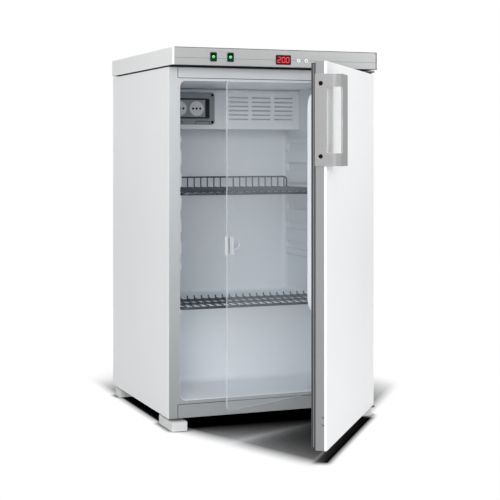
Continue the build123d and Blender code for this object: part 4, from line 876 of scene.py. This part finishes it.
    def make_world(self, scene, strength):
        """Even light, and plain white for the camera and in reflections."""
        world = bpy.data.worlds.new("studio")
        scene.world = world
        world.use_nodes = True
        kit = NodeKit(world.node_tree)
        white = (1, 1, 1, 1)
        even = kit.add("ShaderNodeBackground", white, strength).outputs["Background"]
        plain = kit.add("ShaderNodeBackground", white).outputs["Background"]
        path = kit.add("ShaderNodeLightPath")
        mirrored = kit.calculate("MAXIMUM", path.outputs["Is Camera Ray"], path.outputs["Is Glossy Ray"])
        share = kit.calculate("MAXIMUM", mirrored, path.outputs["Is Transmission Ray"])
        kit.add("ShaderNodeOutputWorld", kit.blend(share, even, plain))


def faces_front(face):
    """True for a face that looks forwards."""
    return face.normal.y < -0.9


class INCUBATOR_OT_cabinet(IncubatorStep, bpy.types.Operator):
    """Coated steel shell of the cabinet with its grey front frame"""
    bl_idname = "incubator.cabinet"
    bl_label = "Cabinet shell"

    def execute(self, context):
        edge = sizes().sheet_edge
        for side in ("left", "right"):
            dress(f"{side}_side_panel", f"coated_side_{side}", "white_coat", edge, 3,
                  "frame_grey", faces_front)
        dress("front_top_rail", "front_rail_above_opening", "frame_grey", edge)
        dress("front_kick_panel", "front_rail_below_opening", "frame_grey", edge)
        dress("back_panel", "rear_sheet", "zinc", edge / 2)
        self.make_seams()
        for node in ("top_panel", "base_pan", "niche_panel"):
            colour_node(node, "zinc")
        colour_node("cabinet_insulation", "foam")
        return {"FINISHED"}

    def make_seams(self):
        """Dark joint lines between the front rails, the columns and the liner."""
        top_low, top_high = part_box("front_top_rail")
        low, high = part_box("front_kick_panel")
        front, back = low.y - 0.06 * MM, low.y + MM
        half = sizes().seam / 2
        bm = bmesh.new()
        for x in (top_low.x, top_high.x):
            add_box(bm, (x - half, front, top_low.z), (x + half, back, top_high.z))
            add_box(bm, (x - half, front, low.z), (x + half, back, high.z))
        for z in (high.z, top_low.z):
            add_box(bm, (low.x, front, z - half), (high.x, back, z + half))
        mesh = mesh_from("front_frame_joints", bm, "rubber")
        add_piece("front_frame_joints", mesh, "cabinet")


class INCUBATOR_OT_lid(IncubatorStep, bpy.types.Operator):
    """Laminated lid board and the metal fascia in its front edge"""
    bl_idname = "incubator.lid"
    bl_label = "Lid and fascia"

    def execute(self, context):
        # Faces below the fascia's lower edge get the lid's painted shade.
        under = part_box("control_fascia")[0].z + 0.1 * MM
        dress("worktop", "lid_board", "lid_board", sizes().sheet_edge, 3,
              "lid_under", lambda face: face.calc_center_median().z < under)
        dress("control_fascia", "fascia_strip", "fascia", sizes().small_edge)
        self.make_gap_shadow()
        return {"FINISHED"}

    def make_gap_shadow(self):
        """Dark strip that paints the shadow in the gap over the fascia and at its right end."""
        low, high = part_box("control_fascia")
        front, back = low.y - 0.15 * MM, low.y + MM
        thick, end = 1.3 * MM, 2.2 * MM
        bm = bmesh.new()
        add_box(bm, (low.x, front, high.z - thick), (high.x, back, high.z))
        add_box(bm, (high.x - end, front, low.z), (high.x, back, high.z - thick))
        add_piece("fascia_seal", mesh_from("fascia_seal", bm, "rubber"), "cabinet")


class INCUBATOR_OT_controls(IncubatorStep, bpy.types.Operator):
    """Two lit switches, the number display and two round buttons"""
    bl_idname = "incubator.controls"
    bl_label = "Controls"

    def execute(self, context):
        small = sizes().small_edge
        for label in ("power", "socket"):
            dress(f"{label}_switch_bezel", f"{label}_switch_housing", "black", small, 3)
            self.make_key(label)
        dress("display_bezel", "display_housing", "black", small, 3)
        dress("display_window", "display_glass", "display_glass", small / 2)
        self.make_digits()
        for label in ("up", "down"):
            dress(f"{label}_button_cap", f"{label}_button_round", "button", small)
            self.make_mark(label)
        colour_node("control_board", "board")
        return {"FINISHED"}

    def make_key(self, label):
        """Rocker with a lit oval lens on its face."""
        node = f"{label}_rocker_key"
        dress(node, f"{label}_switch_key", "switch_key", sizes().small_edge, 2)
        low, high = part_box(node)
        face, height = -0.2512, 0.8358
        lens = Matrix.Diagonal((3.5 * MM, 1.9 * MM, 4.4 * MM, 1))
        bm = bmesh.new()
        bmesh.ops.create_uvsphere(bm, u_segments=28, v_segments=14, radius=1.0)
        bm.transform(Matrix.Translation(((low.x + high.x) / 2, face, height)) @ lens)
        name = f"{label}_switch_lens"
        add_piece(name, mesh_from(name, bm, "lens"), f"{label}_rocker")

    def make_digits(self):
        """Three red digits of pointed bars, leaning a little, with a dot before the last."""
        low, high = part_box("display_window")
        middle = (low + high) / 2
        tall, film = sizes().digit_height, 0.1 * MM
        pitch, lean, half_dot = 10.3 * MM, 0.06, 0.6 * MM
        y = low.y - 0.08 * MM
        lit = {"2": "abged", "0": "abcdef"}
        bm = bmesh.new()
        for place, text in enumerate("200"):
            centre = middle.x + (place - 1) * pitch
            for segment in lit[text]:
                outline = [(centre + x + z * lean, y, middle.z + z) for x, z in self.bar(segment)]
                extrude_outline(bm, outline, (0, film, 0))
        dot, foot = middle.x + pitch / 2, middle.z - tall / 2
        add_box(bm, (dot - half_dot, y, foot - 0.2 * MM), (dot + half_dot, y + film, foot + 1.0 * MM))
        add_piece("display_digits", mesh_from("display_digits", bm, "digits"), "cabinet")

    def bar(self, segment):
        """Pointed outline of one bar, as (across, up) from the digit's centre."""
        s = sizes()
        side, top = s.digit_width / 2, s.digit_height / 2
        half, gap = s.digit_bar / 2, 0.15 * MM
        if segment in "agd":
            x = side - gap
            z = {"a": top, "g": 0.0, "d": -top}[segment]
            upper = [(-x, z), (-x + half, z + half), (x - half, z + half)]
            return upper + [(x, z), (x - half, z - half), (-x + half, z - half)]
        x = side if segment in "bc" else -side
        z0, z1 = (gap, top - gap) if segment in "bf" else (gap - top, -gap)
        outer = [(x, z0), (x + half, z0 + half), (x + half, z1 - half)]
        return outer + [(x, z1), (x - half, z1 - half), (x - half, z0 + half)]

    def make_mark(self, label):
        """Small arrow on a button, pointing up or down."""
        low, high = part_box(f"{label}_button_cap")
        middle = (low + high) / 2
        half = 1.9 * MM
        rise = half if label == "up" else -half
        y = low.y - 0.04 * MM
        x, base = middle.x, middle.z - rise * 0.6
        arrow = [(x - half, y, base), (x + half, y, base), (x, y, middle.z + rise)]
        bm = bmesh.new()
        extrude_outline(bm, arrow, (0, 0.1 * MM, 0))
        name = f"{label}_button_arrow"
        add_piece(name, mesh_from(name, bm, "mark"), f"{label}_button")


class INCUBATOR_OT_liner(IncubatorStep, bpy.types.Operator):
    """Moulded liner with its shelf supports"""
    bl_idname = "incubator.liner"
    bl_label = "Liner and supports"

    def execute(self, context):
        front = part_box("inner_liner")[0].y + MM
        dress("inner_liner", "moulded_liner", "liner", sizes().sheet_edge, 2,
              "frame_grey", lambda face: faces_front(face) and face.calc_center_median().y < front)
        dress("shelf_supports", "moulded_shelf_supports", "liner", sizes().small_edge, 2)
        return {"FINISHED"}


class INCUBATOR_OT_rear_cover(IncubatorStep, bpy.types.Operator):
    """Moulded cover over the evaporator with its louvres"""
    bl_idname = "incubator.rear_cover"
    bl_label = "Rear cover"

    def execute(self, context):
        dress("evaporator_cover", "rear_cover_shell", "cover", sizes().small_edge, 2)
        self.make_louvres()
        return {"FINISHED"}

    def make_louvres(self):
        """Slanted blades behind the air slots, one row over another in three columns."""
        cover_face, first_slot, lowest = 0.1195, 0.0175, 0.7019
        slot_pitch, blade_length, row_pitch, rows = 62.0 * MM, 53.0 * MM, 11.0 * MM, 6
        section = in_mm((0.4, 0), (0.4, 1.0), (7.0, 5.6), (7.0, 4.6))
        made = []
        for column in range(3):
            x = first_slot + column * slot_pitch
            bm = bmesh.new()
            outline = [(x, cover_face + back, lowest + up) for back, up in section]
            extrude_outline(bm, outline, (blade_length, 0, 0))
            made.append(repeated(bm, "cover", rows, (0, 0, row_pitch)))
        add_piece("rear_cover_louvres", combined("rear_cover_louvres", made), "cabinet")


class INCUBATOR_OT_sockets(IncubatorStep, bpy.types.Operator):
    """Socket box on the rear cover with two mains sockets"""
    bl_idname = "incubator.sockets"
    bl_label = "Inside sockets"

    def execute(self, context):
        small = sizes().small_edge
        dress("socket_box", "socket_box_frame", "grey_plastic", small, 2)
        dress("socket_window_seal", "socket_window_frame", "rubber", small, 2)
        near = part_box("socket_modules")[0].y + 1.5 * MM
        dress("socket_modules", "socket_inserts", "socket_block", small, 2,
              "socket", lambda face: faces_front(face) and near < face.calc_center_median().y < near + MM)
        dress("socket_screws", "socket_box_screws", "screw", small, 2)
        self.make_window_line()
        self.make_latch_lines()
        self.make_socket_rims()
        return {"FINISHED"}

    def make_window_line(self):
        """Dark lip round the window of the socket box."""
        low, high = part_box("socket_window_seal")
        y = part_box("socket_box")[0].y + 0.3 * MM
        route = [(low.x, y, low.z), (high.x, y, low.z), (high.x, y, high.z), (low.x, y, high.z)]
        mesh = bent_wire(route, 1.3 * MM, "rubber", bend=3 * MM, closed=True, sides=8)
        add_piece("socket_window_lip", mesh, "cabinet")

    def make_latch_lines(self):
        """Dark gaps round the two latches under the window."""
        low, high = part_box("socket_box")
        y = low.y + 0.25 * MM
        half, spread = 18.5 * MM, 36.5 * MM
        top, bottom = low.z + 8.6 * MM, low.z + 1.6 * MM
        made = []
        for side in (-1, 1):
            x = (low.x + high.x) / 2 + side * spread
            route = [(x - half, y, bottom), (x - half, y, top), (x + half, y, top), (x + half, y, bottom)]
            made.append(bent_wire(route, 0.75 * MM, "rubber", bend=3 * MM, sides=8))
        add_piece("socket_latch_gaps", combined("socket_latch_gaps", made), "cabinet")

    def make_socket_rims(self):
        """Raised ring round each socket and dark sleeves in its pin holes."""
        low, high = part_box("socket_modules")
        middle = (low + high) / 2
        half_module, pin_spacing = 22.4 * MM, 9.5 * MM
        ring = in_mm((18.9, 2.0), (18.9, 0.4), (17.8, 0.4), (17.2, 2.0))
        sleeve = in_mm((2.9, 1.85), (2.9, 2.4), (2.2, 2.4), (2.2, 1.85))
        bottom = in_mm((0, 2.4), (2.25, 2.4), (2.25, 3), (0, 3))
        rims, sleeves = bmesh.new(), bmesh.new()
        for side in (-1, 1):
            x = middle.x + side * half_module
            add_ring(rims, (x, low.y, middle.z), (0, 1, 0), ring, 40)
            for step in (-1, 0, 1):
                pin = (x + step * pin_spacing, low.y, middle.z)
                add_ring(sleeves, pin, (0, 1, 0), sleeve, 20)
                add_ring(sleeves, pin, (0, 1, 0), bottom, 20, close=False)
        name = "socket_rims_and_sleeves"
        made = [mesh_from("socket_rims", rims, "socket"), mesh_from("socket_sleeves", sleeves, "rubber")]
        add_piece(name, combined(name, made), "cabinet")


class INCUBATOR_OT_air_set(IncubatorStep, bpy.types.Operator):
    """Fan, evaporator, heater and probe behind the rear cover"""
    bl_idname = "incubator.air_set"
    bl_label = "Air circulation"

    def execute(self, context):
        small = sizes().small_edge
        dress("fan_frame", "fan_housing", "black", small, 2)
        dress("fan_impeller", "fan_rotor", "black", small, 2)
        dress("evaporator", "finned_evaporator", "fin")
        dress("heater_element", "tube_heater", "heater")
        dress("temperature_probe", "air_probe", "heater", small / 2)
        return {"FINISHED"}


class INCUBATOR_OT_shelves(IncubatorStep, bpy.types.Operator):
    """Two welded wire shelves, the upper one with a guard rail"""
    bl_idname = "incubator.shelves"
    bl_label = "Wire shelves"

    def execute(self, context):
        self.make_shelf("upper", 24.5 * MM, True)
        self.make_shelf("lower", 7.0 * MM, False)
        return {"FINISHED"}

    def make_shelf(self, label, rise, railed):
        """Frame, brace, cross wires whose rear ends rise, and the guard rail if it has one."""
        s = sizes()
        r, c = s.frame_wire, s.cross_wire
        low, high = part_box(f"{label}_shelf_wires")
        half = high.x - r
        front = low.y + r
        rear = high.y - (c if railed else r)
        z = low.z + r
        ring = [(-half, front, z), (half, front, z), (half, rear, z), (-half, rear, z)]
        made = [bent_wire(ring, r, "wire", bend=20 * MM, closed=True, sides=16)]
        middle = (front + rear) / 2
        brace_z = z + r - s.brace_wire
        made.append(bent_wire([(-half, middle, brace_z), (half, middle, brace_z)], s.brace_wire, "wire"))
        top = z + r + c - 0.25 * MM
        first = -(s.wire_count - 1) / 2 * s.wire_pitch
        route = [(first, front - 2.5 * MM, top), (first, rear, top), (first, rear, top + rise)]
        made.append(bent_wire(route, c, "wire", bend=4 * MM, count=s.wire_count, step=(s.wire_pitch, 0, 0)))
        if railed:
            side = half - r - s.rail_wire
            crest = high.z - s.rail_wire
            rail = [(-side, rear, top), (-side, rear, crest), (side, rear, crest), (side, rear, top)]
            made.append(bent_wire(rail, s.rail_wire, "wire", bend=9 * MM))
        name, nodes = f"{label}_wire_shelf", (f"{label}_shelf_wires",)
        add_piece(name, combined(name, made), f"{label}_shelf", nodes, bend=50)


class INCUBATOR_OT_door(IncubatorStep, bpy.types.Operator):
    """Outer door with its edge profiles, moulded liner and foam"""
    bl_idname = "incubator.door"
    bl_label = "Outer door"

    def execute(self, context):
        edge = sizes().sheet_edge
        dress("door_outer_panel", "door_front_sheet", "white_coat", edge, 3)
        dress("door_side_profiles", "door_upright_profiles", "trim_grey", edge, 2)
        dress("door_end_caps", "door_cross_bars", "trim_grey", edge, 2)
        dress("door_liner", "door_moulded_liner", "liner", sizes().small_edge, 2)
        colour_node("door_insulation", "foam")
        dress("door_gasket", "door_magnetic_seal", "gasket", sizes().small_edge, 2,
              "gasket_groove", self.in_groove)
        return {"FINISHED"}

    def in_groove(self, face):
        """True for the bottom of the groove along the seal's free side."""
        groove = -0.2445
        closed = Matrix.Rotation(-DOOR_OPEN, 3, "Z") @ (face.calc_center_median() - DOOR_AXIS)
        return abs(DOOR_AXIS.x + closed.x - groove) < 0.3 * MM


class INCUBATOR_OT_handle(IncubatorStep, bpy.types.Operator):
    """Bent steel handle with its window and two screws"""
    bl_idname = "incubator.handle"
    bl_label = "Handle"

    def execute(self, context):
        handle = dress("door_handle", "bent_steel_handle", "steel", sizes().sheet_edge, 3)
        # The rounded edge strips get the lighter finish as a painted highlight.
        handle.data.materials.append(finish("steel_edge_highlight"))
        handle.modifiers["Rounded edges"].material = 1
        self.make_screws()
        self.make_edge_screws()
        return {"FINISHED"}

    def make_screws(self):
        """Button heads with a round recess, on the handle's plate."""
        head = in_mm(
            (0, 0.5), (2.3, 0.5), (2.45, -0.2), (3.4, -0.45), (4.2, -0.35), (4.5, 0.0), (4.5, 1.0), (0, 1.0),
        )
        middle = (DOOR_FRONT + DOOR_BACK) / 2
        places = [(DOOR_FREE_EDGE - HANDLE_PLATE, middle, z) for z in (0.6136, 0.7590)]
        self.add_screws("handle_button_screws", places, head, 24, ("handle_screws",))

    def make_edge_screws(self):
        """Two small screw heads low in the door's free edge."""
        head = in_mm((0, -0.25), (0.9, -0.25), (1.5, 0.0), (1.5, 0.4), (0, 0.4))
        places = [(DOOR_FREE_EDGE, -0.2432, z) for z in (0.0780, 0.0935)]
        self.add_screws("door_edge_screws", places, head, 16)

    def add_screws(self, name, places, head, segments, nodes=()):
        """Turned heads that face the door's free edge."""
        bm = bmesh.new()
        for place in places:
            add_ring(bm, place, (1, 0, 0), head, segments, close=False)
        swing_mesh(bm, DOOR_AXIS, DOOR_OPEN)
        add_piece(name, mesh_from(name, bm, "screw"), "door", nodes)


class INCUBATOR_OT_hinges(IncubatorStep, bpy.types.Operator):
    """Hinge plates with their pins, and the bushes in the door"""
    bl_idname = "incubator.hinges"
    bl_label = "Door hinges"

    def execute(self, context):
        edge = sizes().sheet_edge
        dress("upper_hinge_bracket", "upper_hinge_plate", "hinge", edge, 2)
        dress("lower_hinge_bracket", "lower_hinge_plate", "hinge", edge, 2)
        dress("hinge_bushes", "door_hinge_bushes", "bush", sizes().small_edge, 2)
        return {"FINISHED"}


class INCUBATOR_OT_inner_door(IncubatorStep, bpy.types.Operator):
    """Clear inner door with its hinge profile, catch and bearings"""
    bl_idname = "incubator.inner_door"
    bl_label = "Clear inner door"

    def execute(self, context):
        facing = Matrix.Rotation(INNER_OPEN, 3, "Z") @ Vector((0, 1, 0))
        # The sheet's edge faces and rounded edges get the paler finish as a painted highlight.
        sheet = dress("inner_door_panel", "clear_door_sheet", "clear", 1.0 * MM, 2,
                      "clear_edge_highlight", lambda face: abs(face.normal.dot(facing)) < 0.5)
        sheet.modifiers["Rounded edges"].material = 1
        dress("inner_door_profile", "clear_door_profile", "clear_profile", 0.5 * MM, 2)
        dress("inner_door_catch", "clear_door_catch", "clear_profile", 0.4 * MM, 2)
        dress("inner_door_bearings", "clear_door_bearings", "liner", 0.5 * MM, 2)
        self.make_catch_strip()
        return {"FINISHED"}

    def make_catch_strip(self):
        """Dark magnet in the catch with a white strip beside it."""
        left = INNER_AXIS.x - INNER_REACH
        face = INNER_AXIS.y - 4.0 * MM
        foot, top = 0.404, 0.440
        made = []
        for start, end, look in ((2.2, 4.6, "rubber"), (4.9, 6.3, "button")):
            bm = bmesh.new()
            add_box(bm, (left + start * MM, face - 0.1 * MM, foot), (left + end * MM, face + 0.3 * MM, top))
            swing_mesh(bm, INNER_AXIS, INNER_OPEN)
            made.append(mesh_from("strip", bm, look))
        mesh = combined("clear_door_magnet", made)
        add_piece("clear_door_magnet", mesh, "inner_door")


class INCUBATOR_OT_feet(IncubatorStep, bpy.types.Operator):
    """Four plastic feet"""
    bl_idname = "incubator.feet"
    bl_label = "Feet"

    def execute(self, context):
        for side in ("front", "rear"):
            dress(f"{side}_feet", f"moulded_{side}_feet", "foot", sizes().moulded_edge, 3)
        return {"FINISHED"}


class INCUBATOR_OT_cooling_set(IncubatorStep, bpy.types.Operator):
    """Compressor, condenser and mains inlet in the niche at the back"""
    bl_idname = "incubator.cooling_set"
    bl_label = "Cooling set"

    def execute(self, context):
        small = sizes().small_edge
        self.make_compressor()
        dress("compressor_grommets", "compressor_rubber_mounts", "rubber", small, 2)
        dress("compressor_rail", "compressor_mounting_plate", "zinc", small)
        dress("relay_cover", "relay_housing", "black", small, 3)
        self.make_condenser()
        dress("condenser_clips", "condenser_stand_offs", "black", small, 2)
        dress("filter_drier", "drier_with_bracket", "copper", small, 2)
        dress("junction_box", "mains_junction_box", "black", small, 3)
        dress("power_inlet", "mains_inlet", "black", small, 2)
        return {"FINISHED"}

    def make_compressor(self):
        """Domed shell turned about its axis, with its seam, plate and stubs."""
        low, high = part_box("compressor")
        x, y = 0.070, 0.139
        plate, radius, dome, foot = 2 * MM, 72 * MM, 42 * MM, 20 * MM
        base = low.z + plate
        tall = high.z - base
        seam, lip = tall * 0.55, radius + 3 * MM
        profile = [(0, 0), (radius - foot, 0)]
        profile += [(radius - foot + foot * math.sin(a), foot - foot * math.cos(a)) for a in self.steps(6)]
        profile += [(radius, seam), (lip, seam + 0.6 * MM), (lip, seam + 5.4 * MM), (radius, seam + 6 * MM)]
        profile += [(radius * math.cos(a), tall - dome + dome * math.sin(a)) for a in self.steps(12)]
        profile[-1] = (0, tall)
        bm = bmesh.new()
        add_ring(bm, (x, y, base), (0, 0, 1), profile, 72, close=False)
        reach = x - low.x
        add_box(bm, (low.x, y - reach, low.z), (high.x, y + reach, base))
        shell = mesh_from("compressor_shell", bm, "shell")
        bm = bmesh.new()
        wall = [(3 * MM, 0), (3 * MM, radius + 12 * MM), (2 * MM, radius + 12 * MM), (2 * MM, 0)]
        for across in (-30 * MM, 30 * MM):
            add_ring(bm, (x + across, y, base + tall * 0.35), (0, 1, 0), wall, 20)
        mesh = combined("compressor_body", [shell, mesh_from("compressor_stubs", bm, "copper")])
        add_piece("compressor_body", mesh, "cabinet", ("compressor",))

    def steps(self, count):
        """Equal angles up to a quarter turn."""
        return [math.pi / 2 * (i + 1) / count for i in range(count)]

    def make_condenser(self):
        """Serpentine tube with its feed from the compressor, and upright wires on its back."""
        half, y, first, pitch, passes = 0.200, 0.2685, 0.276, 44 * MM, 12
        feed, feed_x, outlet = 0.0937, 0.100, 0.2231
        wire_pitch, wires, overhang = 14.5 * MM, 26, 10 * MM
        riser = half + 22 * MM
        tube = [(feed_x, outlet, feed), (feed_x, y, feed), (riser, y, feed), (riser, y, first)]
        for i in range(passes):
            side = half if i % 2 == 0 else -half
            tube += [(side, y, first + i * pitch), (-side, y, first + i * pitch)]
        made = [bent_wire(tube, 2.5 * MM, "coil", bend=20 * MM)]
        x = -(wires - 1) / 2 * wire_pitch
        back = y + 3.25 * MM
        low, high = first - overhang, first + (passes - 1) * pitch + overhang
        route = [(x, back, low), (x, back, high)]
        made.append(bent_wire(route, 0.9 * MM, "coil", count=wires, step=(wire_pitch, 0, 0), sides=8))
        mesh = combined("wire_condenser", made)
        add_piece("wire_condenser", mesh, "cabinet", ("condenser",), bend=50)


STEPS = (
    INCUBATOR_OT_stage,
    INCUBATOR_OT_cabinet,
    INCUBATOR_OT_lid,
    INCUBATOR_OT_controls,
    INCUBATOR_OT_liner,
    INCUBATOR_OT_rear_cover,
    INCUBATOR_OT_sockets,
    INCUBATOR_OT_air_set,
    INCUBATOR_OT_shelves,
    INCUBATOR_OT_door,
    INCUBATOR_OT_handle,
    INCUBATOR_OT_hinges,
    INCUBATOR_OT_inner_door,
    INCUBATOR_OT_feet,
    INCUBATOR_OT_cooling_set,
)


class INCUBATOR_PT_panel(bpy.types.Panel):
    """Lists the incubator's steps and values"""
    bl_label = "Incubator"
    bl_idname = "INCUBATOR_PT_panel"
    bl_space_type = "VIEW_3D"
    bl_region_type = "UI"
    bl_category = "Incubator"

    def draw(self, context):
        column = self.layout.column()
        for step in STEPS:
            column.operator(step.bl_idname)
        scene = context.scene
        for group in (scene.incubator_colours, scene.incubator_sizes, scene.incubator_light):
            for label in group.bl_rna.properties.keys():
                if label not in {"rna_type", "name"}:
                    column.prop(group, label)


CLASSES = (IncubatorColours, IncubatorSizes, IncubatorLight) + STEPS + (INCUBATOR_PT_panel,)


def register():
    for item in CLASSES:
        bpy.utils.register_class(item)
    bpy.types.Scene.incubator_colours = PointerProperty(type=IncubatorColours)
    bpy.types.Scene.incubator_sizes = PointerProperty(type=IncubatorSizes)
    bpy.types.Scene.incubator_light = PointerProperty(type=IncubatorLight)


def unregister():
    del bpy.types.Scene.incubator_light
    del bpy.types.Scene.incubator_sizes
    del bpy.types.Scene.incubator_colours
    for item in reversed(CLASSES):
        bpy.utils.unregister_class(item)


def main():
    register()
    for step in STEPS:
        group, name = step.bl_idname.split(".")
        getattr(getattr(bpy.ops, group), name)()


if __name__ == "__main__":
    main()
